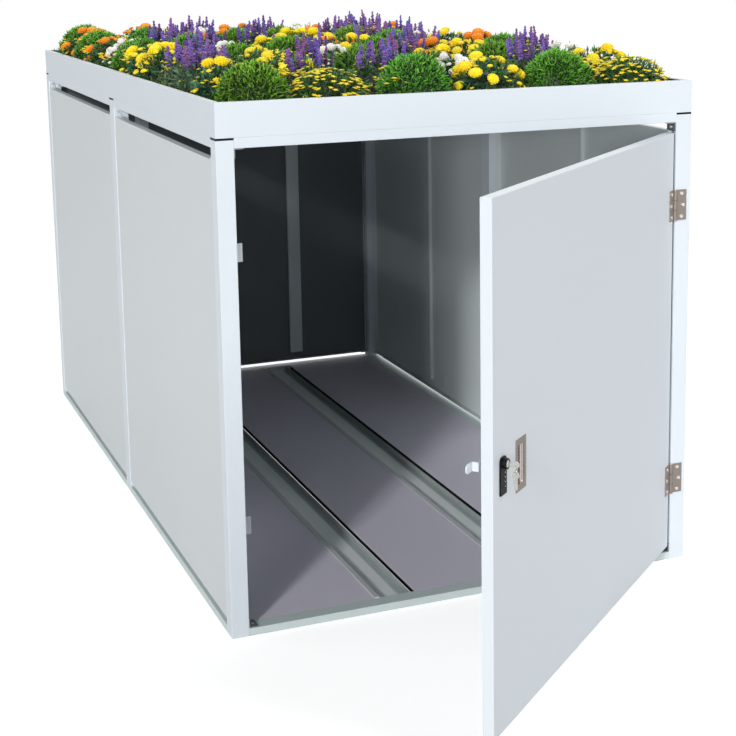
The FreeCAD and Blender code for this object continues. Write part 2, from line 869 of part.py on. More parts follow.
def build_planting():
    bed_width = s.overall_width - 2 * s.fascia_fold
    bed_length = s.overall_length - 2 * s.fascia_fold
    columns = int(bed_width.number / s.plant_spacing.number)
    rows = int(bed_length.number / s.plant_spacing.number)
    clumps = {letter: [] for letter in SPECIES}
    for row in range(rows):
        # A longer or wider bed starts the planting plan again
        letters = PLANTING[row % len(PLANTING)]
        for column in range(columns):
            letter = letters[column % len(letters)]
            name, radius, height = SPECIES[letter]
            x = left + s.fascia_fold + (column + 0.5) * bed_width / columns
            y = front + s.fascia_fold + (row + 0.5) * bed_length / rows
            clumps[letter].append(clump(name + "_clump", x, y, radius, height))
    for letter, shapes in clumps.items():
        name = SPECIES[letter][0]
        node(compound(name, shapes, (0, 0, soil_top)), name)


# Hinges: the post's leaf carries two knuckles, the door's leaf the one between them
def leaf_plate(name, side, middle_notch):
    """A leaf from the hinge axis outward: side 1 is the post's, side -1 the door's."""
    plate_x = sized(0) if side > 0 else -s.hinge_leaf_width
    plate_y = s.knuckle_radius - s.hinge_leaf_sheet
    extent = (s.hinge_leaf_width, s.hinge_leaf_sheet, s.hinge_height)
    plate = box(name + "_plate", (plate_x, plate_y, 0), extent)
    third = s.hinge_height / 3
    reach = s.knuckle_radius + s.knuckle_gap
    own, others = ((0, 2), (1,)) if middle_notch else ((1,), (0, 2))
    shapes = [plate]
    bore_length = s.hinge_height + 2 * OVERRUN
    tools = [cylinder(name + "_bore", "z", (0, 0, -OVERRUN), s.pin_radius + s.pin_clearance, bore_length)]
    for index in own:
        shapes.append(cylinder(name + "_knuckle", "z", (0, 0, index * third), s.knuckle_radius, third))
    for index in others:
        # The notches take the axial gap as well, so that the knuckles run free
        low = index * third - (s.knuckle_gap if middle_notch else OVERRUN)
        height = third + (2 * s.knuckle_gap if middle_notch else OVERRUN)
        tools.append(box(name + "_notch", (-reach, -reach, low), (2 * reach, 2 * reach, height)))
    for number, (outward, up) in enumerate(hinge_screw_points()):
        centre = (side * outward, plate_y - OVERRUN, s.hinge_height / 2 + up)
        length = s.hinge_leaf_sheet + 2 * OVERRUN
        tools.append(cylinder("%s_hole_%d" % (name, number), "y", centre, s.screw_radius, length))
    return fuse(name + "_blank", shapes), tools


def build_hinges():
    post_leaves = []
    door_leaves = []
    pins = []
    for word, middle in HINGES:
        low = middle - s.hinge_height / 2
        name = "hinge_post_leaf_" + word
        blank, tools = leaf_plate(name, 1, True)
        post_leaves.append(cut(name, blank, tools, (0, 0, low)))
        name = "hinge_door_leaf_" + word
        blank, tools = leaf_plate(name, -1, False)
        door_leaves.append(cut(name, blank, tools, (0, 0, low)))
        name = "hinge_pin_" + word
        top = s.hinge_height
        outline = (
            (sized(0), -s.pin_head_height),
            (s.pin_head_radius, -s.pin_head_height),
            (s.pin_head_radius, sized(0)),
            (s.pin_radius, sized(0)),
            (s.pin_radius, top),
            (s.pin_head_radius, top),
            (s.pin_head_radius, top + s.pin_head_height),
            (sized(0), top + s.pin_head_height),
        )
        pins.append(turned_piece(name, "XZ_Plane", outline, (0, 0, low)))
    node(compound("hinge_post_leaves", post_leaves, (hinge_x, hinge_y, 0)), "hinge_post_leaves")
    node(compound("hinge_door_leaves", door_leaves, on_door=True), "hinge_door_leaves")
    node(compound("hinge_pins", pins, (hinge_x, hinge_y, 0)), "hinge_pins")


def hinge_screws(side, grip):
    y = s.knuckle_radius - s.hinge_leaf_sheet
    for _, middle in HINGES:
        for outward, up in hinge_screw_points():
            yield screw_shape((side * outward, y, middle + up), (0, -1, 0), grip)


def build_hinge_screws():
    on_post = list(hinge_screws(1, s.hinge_leaf_sheet + s.post_wall))
    on_door = list(hinge_screws(-1, s.hinge_leaf_sheet + s.door_sheet))
    group("hinge_screws_post", on_post, (hinge_x, hinge_y, 0))
    group("hinge_screws_door", on_door, on_door=True)


# Door: a folded front sheet, a flat back sheet and three uprights between them
def lock_hole(name, start, length):
    return cylinder(name, "y", (lock_x, start, s.lock_middle), s.lock_barrel_radius + s.lock_fit, length)


def build_door():
    height = door_top - s.door_bottom
    inner_depth = s.door_thickness - s.door_sheet
    extent = (door_width, s.door_thickness, height)
    outer = box("door_front_outer", (door_left, door_face, s.door_bottom), extent)
    hollow = box(
        "door_front_hollow",
        (door_left + s.door_sheet, door_face + s.door_sheet, s.door_bottom + s.door_sheet),
        (door_width - 2 * s.door_sheet, inner_depth + OVERRUN, height - 2 * s.door_sheet),
    )
    sheet_cut = s.door_sheet + 2 * OVERRUN
    pull_margin = s.pull_sheet + s.pull_clearance
    pull_width = s.pull_recess_width + 2 * pull_margin
    pull_height = s.pull_recess_height + 2 * pull_margin
    pull_at = (pull_x - pull_width / 2, door_face - OVERRUN, s.pull_middle - pull_height / 2)
    tools = [hollow, box("pull_opening", pull_at, (pull_width, sheet_cut, pull_height))]
    tools.append(lock_hole("door_front_lock_hole", door_face - OVERRUN, sheet_cut))
    for word, middle in HINGES:
        for number, (outward, up) in enumerate(hinge_screw_points()):
            centre = (-outward, door_face - OVERRUN, middle + up)
            name = "door_hinge_hole_%s_%d" % (word, number)
            tools.append(cylinder(name, "y", centre, s.screw_radius, sheet_cut))
    node(cut("door_front_sheet", outer, tools, on_door=True), "door_front_sheet")

    back_at = (door_left + s.door_sheet, door_back_face - s.door_sheet, s.door_bottom + s.door_sheet)
    extent = (door_width - 2 * s.door_sheet, s.door_sheet, height - 2 * s.door_sheet)
    back = box("door_back_blank", back_at, extent)
    hole = lock_hole("door_back_lock_hole", door_back_face - s.door_sheet - OVERRUN, sheet_cut)
    node(cut("door_back_sheet", back, [hole], on_door=True), "door_back_sheet")

    depth = s.door_thickness - 2 * s.door_sheet
    extent = (s.door_stiffener_width, depth, height - 2 * s.door_sheet)
    bars = []
    middle_place = (door_width + s.door_stiffener_width) / 2
    for inset in (s.hinge_stiffener_place, middle_place, s.lock_stiffener_place):
        at = (door_right - inset, door_face + s.door_sheet, s.door_bottom + s.door_sheet)
        bars.append(tube("door_upright", at, extent, s.door_sheet, 2))
    node(compound("door_uprights", bars, on_door=True), "door_uprights")


# Recessed pull: a flange on the door's face and a cup behind it
def build_pull():
    flange_y = door_face - s.pull_sheet
    cup_width = s.pull_recess_width + 2 * s.pull_sheet
    cup_height = s.pull_recess_height + 2 * s.pull_sheet
    flange_at = (-s.pull_width / 2, flange_y, -s.pull_height / 2)
    flange = box("pull_flange", flange_at, (s.pull_width, s.pull_sheet, s.pull_height))
    cup_at = (-cup_width / 2, flange_y, -cup_height / 2)
    cup = box("pull_cup", cup_at, (cup_width, s.pull_recess_depth + s.pull_sheet, cup_height))
    recess_at = (-s.pull_recess_width / 2, flange_y - OVERRUN, -s.pull_recess_height / 2)
    extent = (s.pull_recess_width, s.pull_recess_depth + OVERRUN, s.pull_recess_height)
    recess = box("pull_recess", recess_at, extent)
    blank = fuse("pull_blank", [flange, cup])
    node(cut("pull_handle", blank, [recess], (pull_x, 0, s.pull_middle), on_door=True), "pull_handle")


# Lock: plate, barrel and nut stay on the door; plug, cam and key turn together
plate_front = door_face - s.lock_plate_sheet
barrel_front = plate_front - s.lock_flange_length
barrel_rear = door_back_face + s.lock_nut_height + s.lock_barrel_end
cam_front = barrel_rear + s.plug_end
lock_at = (lock_x, 0, s.lock_middle)


def build_lock_body():
    half = s.lock_plate_width / 2
    corner = s.lock_plate_corner
    outline = (
        (-half, -s.lock_plate_below),
        (half, -s.lock_plate_below),
        (half, s.lock_plate_above - corner),
        (half - corner, s.lock_plate_above),
        (-half + corner, s.lock_plate_above),
        (-half, s.lock_plate_above - corner),
    )
    hole = ((sized(0), sized(0)), s.lock_barrel_radius + s.lock_fit)
    at = (0, 0, 0)
    sheet_depth = s.lock_plate_sheet
    shapes = [extrusion("plate_sheet", "XZ_Plane", [outline], plate_front, sheet_depth, at, circles=[hole])]
    for number in range(4):
        # The dots are bosses that grow out of the plate
        centre = (0, plate_front - s.lock_dot_height, -(s.lock_dot_drop + number * s.lock_dot_spacing))
        length = s.lock_dot_height + s.lock_plate_sheet / 2
        shapes.append(cylinder("plate_dot", "y", centre, s.lock_dot_radius, length))
    plate = fuse("lock_plate", shapes)
    node(place(plate, lock_at, on_door=True), "lock_plate")

    bore = s.plug_radius + s.plug_clearance
    outline = (
        (bore, barrel_front),
        (s.lock_flange_radius, barrel_front),
        (s.lock_flange_radius, plate_front),
        (s.lock_barrel_radius, plate_front),
        (s.lock_barrel_radius, barrel_rear),
        (bore, barrel_rear),
    )
    node(turned_piece("lock_barrel", "XY_Plane", outline, lock_at, on_door=True), "lock_barrel")

    radius = s.lock_nut_width / math.sqrt(3)
    turns = [math.radians(60 * corner) for corner in range(6)]
    outline = [(radius * math.cos(turn), radius * math.sin(turn)) for turn in turns]
    height = s.lock_nut_height
    nut = extrusion("lock_nut", "XZ_Plane", [outline], door_back_face, height, lock_at, True, [hole])
    node(nut, "lock_nut")


def build_plug_and_cam():
    tang_end = cam_front + s.cam_sheet
    body = cylinder("plug_body", "y", (0, barrel_front, 0), s.plug_radius, cam_front - barrel_front)
    tang = cylinder("plug_tang", "y", (0, cam_front, 0), s.plug_tang_radius, tang_end - cam_front)
    slot_width = s.key_sheet + 2 * s.key_clearance
    slot_height = s.key_blade_height + 2 * s.key_clearance
    slot_depth = s.key_blade_length + s.key_clearance
    slot_at = (-slot_width / 2, barrel_front - OVERRUN, -slot_height / 2)
    slot = box("key_slot", slot_at, (slot_width, slot_depth + OVERRUN, slot_height))
    blank = fuse("plug_blank", [body, tang])
    node(cut("lock_plug", blank, [slot], lock_at, on_door=True), "lock_plug")

    tip_front = door_back_face + s.post_size - s.door_thickness + s.strike_sheet + s.cam_clearance
    sheet_back = cam_front + s.cam_sheet
    joggle = -s.cam_joggle_place
    outline = (
        (s.cam_heel, cam_front),
        (s.cam_heel, sheet_back),
        (joggle, sheet_back),
        (joggle, tip_front + s.cam_sheet),
        (-s.cam_reach, tip_front + s.cam_sheet),
        (-s.cam_reach, tip_front),
        (joggle - s.cam_sheet, tip_front),
        (joggle - s.cam_sheet, cam_front),
    )
    arm = extrusion("cam_arm", "XY_Plane", [outline], -s.cam_height / 2, s.cam_height, (0, 0, 0))
    doc.recompute()
    pad = arm.Tip
    tip_edges = []
    for number, edge in enumerate(pad.Shape.Edges, start=1):
        middle = edge.CenterOfMass
        level = abs(abs(middle.z) - s.cam_height.number / 2) < 1e-6
        at_tip = abs(middle.x + s.cam_reach.number) < 1e-6
        if level and at_tip:
            tip_edges.append("Edge%d" % number)
    rounding = arm.newObject("PartDesign::Fillet", "cam_tip_rounding")
    rounding.Base = (pad, tip_edges)
    bind(rounding, "Radius", s.cam_tip_round)
    arm.Tip = rounding
    eye = cylinder("cam_eye", "y", (0, cam_front - OVERRUN, 0), s.plug_tang_radius, s.cam_sheet + 2 * OVERRUN)
    node(cut("lock_cam", arm, [eye], lock_at, on_door=True), "lock_cam")

    at = (0, tang_end, 0)
    head = cylinder("cam_screw_head", "y", at, s.cam_screw_radius, s.cam_screw_height)
    node(compound("cam_screw", [head], lock_at, on_door=True), "cam_screw")


# Keys: one in the plug, one on the ring that hangs from the first one's bow
bow_middle = barrel_front - s.key_neck - s.key_bow_radius
hole_level = -s.key_hole_drop
# A wire that hangs in a hole, or a hole that hangs on a wire, lies this far off centre
ring_sag = s.key_hole_radius - s.ring_wire_radius - s.ring_clearance
ring_top = hole_level - ring_sag
ring_middle = ring_top - s.ring_radius
spare_hole_level = ring_top - 2 * s.ring_radius - ring_sag


def build_keys():
    half = s.key_sheet / 2
    radius = s.key_bow_radius
    bow = cylinder("key_bow", "x", (-half, bow_middle, 0), radius, s.key_sheet)
    blade_start = bow_middle + radius / 2
    blade_at = (-half, blade_start, -s.key_blade_height / 2)
    blade_end = barrel_front + s.key_blade_length
    blade = box("key_blade", blade_at, (s.key_sheet, blade_end - blade_start, s.key_blade_height))
    hole_at = (-half - OVERRUN, bow_middle, hole_level)
    hole = cylinder("key_hole", "x", hole_at, s.key_hole_radius, s.key_sheet + 2 * OVERRUN)
    node(cut("key", fuse("key_blank", [bow, blade]), [hole], lock_at, on_door=True), "key")

    ring = doc.addObject("Part::Torus", "ring_wire")
    bind(ring, "Radius1", s.ring_radius)
    bind(ring, "Radius2", s.ring_wire_radius)
    ring.Placement = FreeCAD.Placement(Vector(), AXIS_TURNS["y"])
    place(ring, (0, bow_middle, ring_middle))
    node(compound("key_ring", [ring], lock_at, on_door=True), "key_ring")

    spare_middle = spare_hole_level + hole_level
    bow = cylinder("spare_bow", "x", (-half, bow_middle, spare_middle), radius, s.key_sheet)
    blade_top = spare_middle - radius / 2
    blade_length = radius / 2 + s.spare_blade_length
    blade_at = (-half, bow_middle - s.key_blade_height / 2, blade_top - blade_length)
    blade = box("spare_blade", blade_at, (s.key_sheet, s.key_blade_height, blade_length))
    hole_at = (-half - OVERRUN, bow_middle, spare_hole_level)
    hole = cylinder("spare_hole", "x", hole_at, s.key_hole_radius, s.key_sheet + 2 * OVERRUN)
    node(cut("spare_key", fuse("spare_blank", [bow, blade]), [hole], lock_at, on_door=True), "spare_key")


# Door stops and strike on the left front post
def build_stops_and_strike():
    y = front + s.door_thickness + s.stop_clearance
    stops = []
    for middle in (s.lower_stop_middle, s.upper_stop_middle):
        at = (left_inside, y, middle - s.stop_height / 2)
        stops.append(box("stop", at, (s.stop_reach, s.stop_sheet, s.stop_height)))
    node(compound("door_stops", stops), "door_stops")

    post_rear = front + s.post_size
    outline = (
        (s.strike_sheet, post_rear - s.strike_reach),
        (s.strike_sheet, post_rear + s.strike_sheet),
        (s.strike_sheet - s.strike_reach, post_rear + s.strike_sheet),
        (s.strike_sheet - s.strike_reach, post_rear),
        (sized(0), post_rear),
        (sized(0), post_rear - s.strike_reach),
    )
    at = (left_inside, 0, s.lock_middle - s.strike_height / 2)
    strike = extrusion("strike_plate", "XY_Plane", [outline], sized(0), s.strike_height, at)
    node(strike, "strike_plate")


def build_all():
    build_posts()
    build_post_caps()
    build_rails()
    build_panels()
    build_panel_stiffeners()
    group("bracket_screws", build_panel_brackets() + build_frame_brackets())
    build_floor()
    build_fascia()
    build_planting_bed()
    build_roof_beams()
    build_planting()
    build_hinges()
    build_hinge_screws()
    build_door()
    build_pull()
    build_lock_body()
    build_plug_and_cam()
    build_keys()
    build_stops_and_strike()


def check_objects():
    for item in doc.Objects:
        if "Invalid" in item.State or "Error" in item.State:
            raise RuntimeError("%s failed: %s" % (item.Label, item.State))
    for piece in nodes:
        if piece.Shape.isNull() or not piece.Shape.isValid():
            raise RuntimeError("%s has no valid shape" % piece.Label)


def write_nodes():
    os.makedirs("parts", exist_ok=True)
    for piece in nodes:
        piece.Shape.exportStep("parts/%s.step" % piece.Label)
    print("%d nodes written" % len(nodes))


build_all()
doc.recompute()
check_objects()
write_nodes()
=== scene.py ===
import json
import math

import bmesh
import bpy
import numpy as np
from mathutils import Matrix, Vector


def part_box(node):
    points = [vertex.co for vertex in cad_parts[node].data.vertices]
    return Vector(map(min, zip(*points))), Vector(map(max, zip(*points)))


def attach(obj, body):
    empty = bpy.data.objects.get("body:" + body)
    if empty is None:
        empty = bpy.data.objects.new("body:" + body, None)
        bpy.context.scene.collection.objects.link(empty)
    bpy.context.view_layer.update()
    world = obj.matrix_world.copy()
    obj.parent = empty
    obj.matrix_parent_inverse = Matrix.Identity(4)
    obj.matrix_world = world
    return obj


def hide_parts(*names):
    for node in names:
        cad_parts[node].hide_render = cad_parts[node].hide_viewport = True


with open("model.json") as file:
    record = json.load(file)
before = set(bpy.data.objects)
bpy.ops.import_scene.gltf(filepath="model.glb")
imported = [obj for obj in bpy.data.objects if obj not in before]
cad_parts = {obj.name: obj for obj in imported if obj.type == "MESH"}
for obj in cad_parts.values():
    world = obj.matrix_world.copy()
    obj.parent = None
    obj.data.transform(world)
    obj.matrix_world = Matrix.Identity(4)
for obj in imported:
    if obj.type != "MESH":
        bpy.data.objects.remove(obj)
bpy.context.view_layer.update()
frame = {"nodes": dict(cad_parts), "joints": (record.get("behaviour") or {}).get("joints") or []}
NODES = frame["nodes"]
MM = 0.001

# The door's opening angle, as stored: a door that is shut lies along X
DOOR_JOINT = [joint for joint in frame["joints"] if joint["name"] == "door_swing"][0]
DOOR_OPEN = -math.radians(DOOR_JOINT["range_deg"][0])
HINGE = Vector(DOOR_JOINT["pos_m"])
DOOR_PLACE = Matrix.Translation((HINGE.x, HINGE.y, 0)) @ Matrix.Rotation(DOOR_OPEN, 4, "Z")
SHUT = DOOR_PLACE.inverted()

# Places on the door that is shut: along X from the hinge pins, in millimetres
DOOR_FREE_EDGE = -1201
LOCK_DOT_COLUMN = DOOR_FREE_EDGE + 54.5
PULL_MIDDLE = DOOR_FREE_EDGE + 145
FLANGE_DEPTH = 5.2

# Hinges and wheel channels, in millimetres
HINGE_MIDDLES = (235, 998)
HINGE_HEIGHT = 82
CHANNEL_PLACE = 200
CHANNEL_HALF_WIDTH = 41.3
CHANNEL_LIP = 1.9
# The bright strip along a channel's middle is partly wear and partly painted highlight; beyond its edge,
# painted shade that is partly wear.
WEAR_AND_HIGHLIGHT_HALF_WIDTH = 21
WEAR_AND_HIGHLIGHT_EDGE = 7


# Finishes
class Value:
    """A socket of a finish that can be used in sums."""

    def __init__(self, finish, socket):
        self.finish = finish
        self.socket = socket

    def _sum(self, operation, *others):
        values = enumerate((self,) + others)
        return self.finish.add("ShaderNodeMath", {"operation": operation}, dict(values))

    def __add__(self, other):
        return self._sum("ADD", other)

    def __sub__(self, other):
        return self._sum("SUBTRACT", other)

    def __rsub__(self, other):
        return (self * -1) + other

    def __mul__(self, other):
        return self._sum("MULTIPLY", other)

    def over(self, level):
        return self._sum("GREATER_THAN", level)

    def at_most(self, level):
        return self._sum("MINIMUM", level)

    def at_least(self, level):
        return self._sum("MAXIMUM", level)

    def size(self):
        return self._sum("ABSOLUTE")

    __radd__ = __add__
    __rmul__ = __mul__


class Nodes:
    """A node tree that is put together node by node."""

    def __init__(self, tree):
        self.tree = tree

    def add(self, kind, settings=None, inputs=None, output=0):
        node = self.tree.nodes.new(kind)
        for name, setting in (settings or {}).items():
            setattr(node, name, setting)
        for name, value in (inputs or {}).items():
            self.feed(node.inputs[name], value)
        return Value(self, node.outputs[output])

    def feed(self, socket, value):
        if isinstance(value, Value):
            value = value.socket
        if isinstance(value, bpy.types.NodeSocket):
            self.tree.links.new(value, socket)
        else:
            socket.default_value = value


class Finish(Nodes):
    """A material for the locker's pieces."""

    def __init__(self, name):
        self.material = bpy.data.materials.new(name)
        self.material.use_nodes = True
        super().__init__(self.material.node_tree)
        self.shader = self.tree.nodes["Principled BSDF"]

    def place(self):
        return self.add("ShaderNodeTexCoord", output="Object")

    def noise(self, scale, detail, roughness=0.5, place=None):
        inputs = {"Vector": place or self.place(), "Scale": scale, "Detail": detail, "Roughness": roughness}
        return self.add("ShaderNodeTexNoise", None, inputs)

    def stretched(self, scale):
        return self.add("ShaderNodeMapping", None, {"Vector": self.place(), "Scale": scale})

    def mix(self, factor, first, second):
        inputs = {0: factor, 6: first, 7: second}
        return self.add("ShaderNodeMix", {"data_type": "RGBA"}, inputs, output=2)

    def bump(self, height, distance, strength=1.0):
        inputs = {"Height": height, "Distance": distance, "Strength": strength}
        return self.add("ShaderNodeBump", None, inputs)

    def attribute(self, name):
        return self.add("ShaderNodeAttribute", {"attribute_name": name}, output="Fac")

    def set(self, **inputs):
        for name, value in inputs.items():
            self.feed(self.shader.inputs[name.replace("_", " ")], value)
        return self.material


def rgb(red, green, blue):
    """A colour given as it shows, from 0 to 255."""
    def linear(value):
        value /= 255
        return value / 12.92 if value <= 0.04045 else ((value + 0.055) / 1.055) ** 2.4

    return (linear(red), linear(green), linear(blue), 1.0)


def powder_coat(name, colour, roughness=0.42, shine=0.5):
    finish = Finish(name)
    soft = finish.noise(2.2, 3.0)
    deep = tuple(0.965 * channel for channel in colour[:3]) + (1.0,)
    return finish.set(
        Base_Color=finish.mix(soft, deep, colour),
        Roughness=roughness,
        Specular_IOR_Level=shine,
        Normal=finish.bump(finish.noise(700.0, 1.0), 0.04 * MM, 0.5),
    )


def steel(name, colour, roughness, grain, metallic):
    """Bare or plated metal; its streaks run across the axis with the largest grain number."""
    finish = Finish(name)
    streaks = finish.noise(1.0, 3.0, 0.6, finish.stretched(grain))
    pale = tuple(min(1.0, 1.18 * channel) for channel in colour[:3]) + (1.0,)
    return finish.set(
        Base_Color=finish.mix(streaks, colour, pale),
        Metallic=metallic,
        Roughness=streaks * 0.22 + (roughness - 0.1),
    )


def plain(name, colour, roughness):
    """Moulded plastic, enamel or felt: faint specks and a fine grain."""
    finish = Finish(name)
    specks = finish.noise(240.0, 2.0)
    pale = tuple(1.25 * channel for channel in colour[:3]) + (1.0,)
    return finish.set(
        Base_Color=finish.mix(specks, colour, pale),
        Roughness=specks * 0.2 + (roughness - 0.1),
        Specular_IOR_Level=0.2,
        Normal=finish.bump(specks, 0.05 * MM, 0.6),
    )


def pull_finish():
    """Brushed steel: taupe on the pull's flange, and a darker, greener taupe in the cup behind it as
    painted shade.
    """
    finish = Finish("pull_brushed_steel")
    streaks = finish.noise(1.0, 3.0, 0.6, finish.stretched((60, 60, 2200)))
    inward = Vector((-math.sin(DOOR_OPEN), math.cos(DOOR_OPEN), 0))
    inputs = {0: finish.place(), 1: inward}
    depth = finish.add("ShaderNodeVectorMath", {"operation": "DOT_PRODUCT"}, inputs, output=1)
    cup = depth.over(HINGE.dot(inward) + FLANGE_DEPTH * MM)
    flange = finish.mix(streaks, rgb(136, 127, 118), rgb(162, 152, 142))
    # Darker colour painted in the cup as shade.
    cup_shade = finish.mix(streaks, rgb(112, 110, 98), rgb(140, 138, 124))
    return finish.set(
        Base_Color=finish.mix(cup, flange, cup_shade),
        Metallic=0.4,
        Roughness=streaks * 0.2 + 0.26,
    )


def channel_finish():
    """Pale sheet: bright along a channel's middle, partly wear and partly a painted highlight; duller
    towards its walls, partly wear and partly painted shade; painted shade on its walls; duller on its lips.
    """
    finish = Finish("channel_sheet")
    soft = finish.noise(6.0, 3.0)
    across = finish.add("ShaderNodeSeparateXYZ", None, {0: finish.place()}, output=0)
    height = finish.add("ShaderNodeSeparateXYZ", None, {0: finish.place()}, output=2)
    aside = (across.size() - CHANNEL_PLACE * MM).size()
    edge = (aside - WEAR_AND_HIGHLIGHT_HALF_WIDTH * MM) * (1 / (WEAR_AND_HIGHLIGHT_EDGE * MM))
    wall = aside.over(CHANNEL_HALF_WIDTH * MM)
    lip = height.over(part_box("wheel_channels")[1].z - CHANNEL_LIP * MM)
    # Painted highlight, partly wear, along the middle; painted shade, partly wear, towards the walls;
    # painted shade on the walls.
    bright = finish.mix(soft, rgb(244, 251, 251), rgb(252, 255, 255))
    bottom = finish.mix(edge.at_least(0.0).at_most(1.0), bright, rgb(186, 194, 193))
    inside = finish.mix(wall, bottom, rgb(160, 167, 166))
    return finish.set(
        Base_Color=finish.mix(lip, inside, rgb(206, 208, 212)),
        Roughness=soft * 0.15 + 0.35,
        Specular_IOR_Level=0.4,
        Normal=finish.bump(finish.noise(500.0, 1.0), 0.04 * MM, 0.5),
    )


def leaves(name, dark, bright, other, roughness=0.6):
    """Leaf or petal colour: dark at a leaf's foot and in the depth of the plant."""
    finish = Finish(name)
    shade = finish.attribute("shade")
    lit = finish.mix(finish.attribute("tint"), bright, other)
    patches = finish.noise(14.0, 2.0)
    flecks = finish.noise(210.0, 1.0)
    blend = shade * 1.15 + patches * 0.35 + flecks - 0.78
    blend = blend.at_most(1.0).at_least(0.0)
    return finish.set(Base_Color=finish.mix(blend, dark, lit), Roughness=roughness)


def soil_finish():
    finish = Finish("planting_soil")
    crumbs = finish.noise(90.0, 5.0, 0.7)
    return finish.set(
        Base_Color=finish.mix(crumbs, rgb(34, 22, 16), rgb(112, 82, 62)),
        Roughness=0.95,
        Normal=finish.bump(crumbs, 6 * MM),
    )


FRAME_WHITE = powder_coat("frame_white_powder_coat", rgb(225, 233, 240))
PANEL_WHITE = powder_coat("panel_white_powder_coat", rgb(219, 225, 228))
PANEL_INSIDE = powder_coat("panel_inside_primer", rgb(219, 227, 227), 0.45, 0.2)
# The rear panel's inner face is a dark grey as painted shade, for the dark back of the locker's inside.
REAR_INSIDE_SHADE = powder_coat("rear_panel_inside_painted_shade", rgb(116, 122, 124), 0.5, 0.2)
DOOR_WHITE = powder_coat("door_white_powder_coat", rgb(228, 235, 241))
SILL_GREY = powder_coat("sill_pale_grey", rgb(212, 224, 224))
FLOOR_GREY = powder_coat("floor_lilac_grey", rgb(226, 221, 235), 0.45, 0.3)
CHANNEL_GREY = channel_finish()
# Near-black: painted shade on the floor bearers, seen through the floor's slots; the hinge's dark joints.
SLOT_BLACK = plain("slot_black", rgb(34, 35, 40), 0.6)
BEAM_GREY = powder_coat("beam_grey", rgb(120, 124, 128))
# The frame brackets are a darker metallic grey than the frame, as painted shade.
BRACKET_SHADE_GREY = steel("bracket_shade_grey", rgb(150, 154, 156), 0.4, (90, 90, 90), 0.8)
HINGE_STEEL = steel("hinge_steel", rgb(148, 138, 130), 0.38, (60, 60, 1800), 0.5)
# The knuckles are a paler copy of the hinge steel, as a painted highlight.
KNUCKLE_HIGHLIGHT_STEEL = steel("hinge_knuckle_highlight_steel", rgb(206, 194, 188), 0.3, (60, 60, 300), 0.7)
PULL_STEEL = pull_finish()
PULL_POLISH = steel("pull_polished_steel", rgb(226, 214, 208), 0.24, (60, 60, 900), 1.0)
SCREW_STEEL = steel("screw_steel", rgb(236, 232, 228), 0.26, (90, 90, 90), 0.6)
CAP_BLACK = plain("black_plastic_cap", rgb(22, 23, 26), 0.5)
LOCK_BLACK = plain("black_lock_enamel", rgb(9, 11, 12), 0.42)
DOT_WHITE = plain("lock_dots_white", rgb(214, 217, 219), 0.5)
NICKEL = steel("nickel_plate", rgb(222, 220, 216), 0.22, (200, 200, 200), 0.85)
TRAY_ZINC = steel("tray_zinc", rgb(150, 154, 156), 0.45, (20, 20, 20), 0.8)
FELT = plain("drainage_felt", rgb(70, 70, 72), 0.95)
SOIL = soil_finish()
BOX_GREEN = leaves("box_leaf_green", rgb(3, 26, 0), rgb(136, 240, 74), rgb(168, 234, 54))
DARK_GREEN = leaves("marigold_leaf_green", rgb(3, 24, 14), rgb(74, 148, 104), rgb(88, 154, 76))
GREY_GREEN = leaves("salvia_leaf_green", rgb(14, 46, 28), rgb(146, 184, 138), rgb(116, 174, 96))
FINE_GREEN = leaves("bidens_leaf_green", rgb(9, 34, 8), rgb(124, 184, 64), rgb(80, 142, 72))
YELLOW = leaves("marigold_yellow", rgb(248, 196, 0), rgb(255, 250, 50), rgb(255, 240, 16), 0.55)
ORANGE = leaves("marigold_orange", rgb(226, 104, 0), rgb(255, 178, 30), rgb(255, 156, 12), 0.55)
PURPLE = leaves("salvia_purple", rgb(34, 26, 84), rgb(122, 104, 206), rgb(150, 96, 150))
WHITE_BLOOM = leaves("bloom_white", rgb(226, 230, 208), rgb(255, 255, 252), rgb(255, 248, 252))
SMALL_YELLOW = leaves("bidens_yellow", rgb(254, 216, 0), rgb(255, 250, 50), rgb(255, 232, 10), 0.55)


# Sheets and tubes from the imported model, with folded edges
SAME_SPOT = 0.01 * MM
FLAT = math.radians(1)
SHARP = math.radians(60)
SHORTEST_FOLD = 18 * MM
SHEET_EDGE = 4.2 * MM
SHEET_FOLD = 2 * MM
TUBE_FOLD = 2.5 * MM
RAIL_FOLD = 1.2 * MM
LOCKER_MIDDLE = Vector((0, 0, 0.6))


def paint(node, material):
    mesh = NODES[node].data
    mesh.materials.clear()
    mesh.materials.append(material)


def face_width(face):
    """Roughly how wide a face is across its longest edge."""
    return face.calc_area() / max(edge.calc_length() for edge in face.edges)


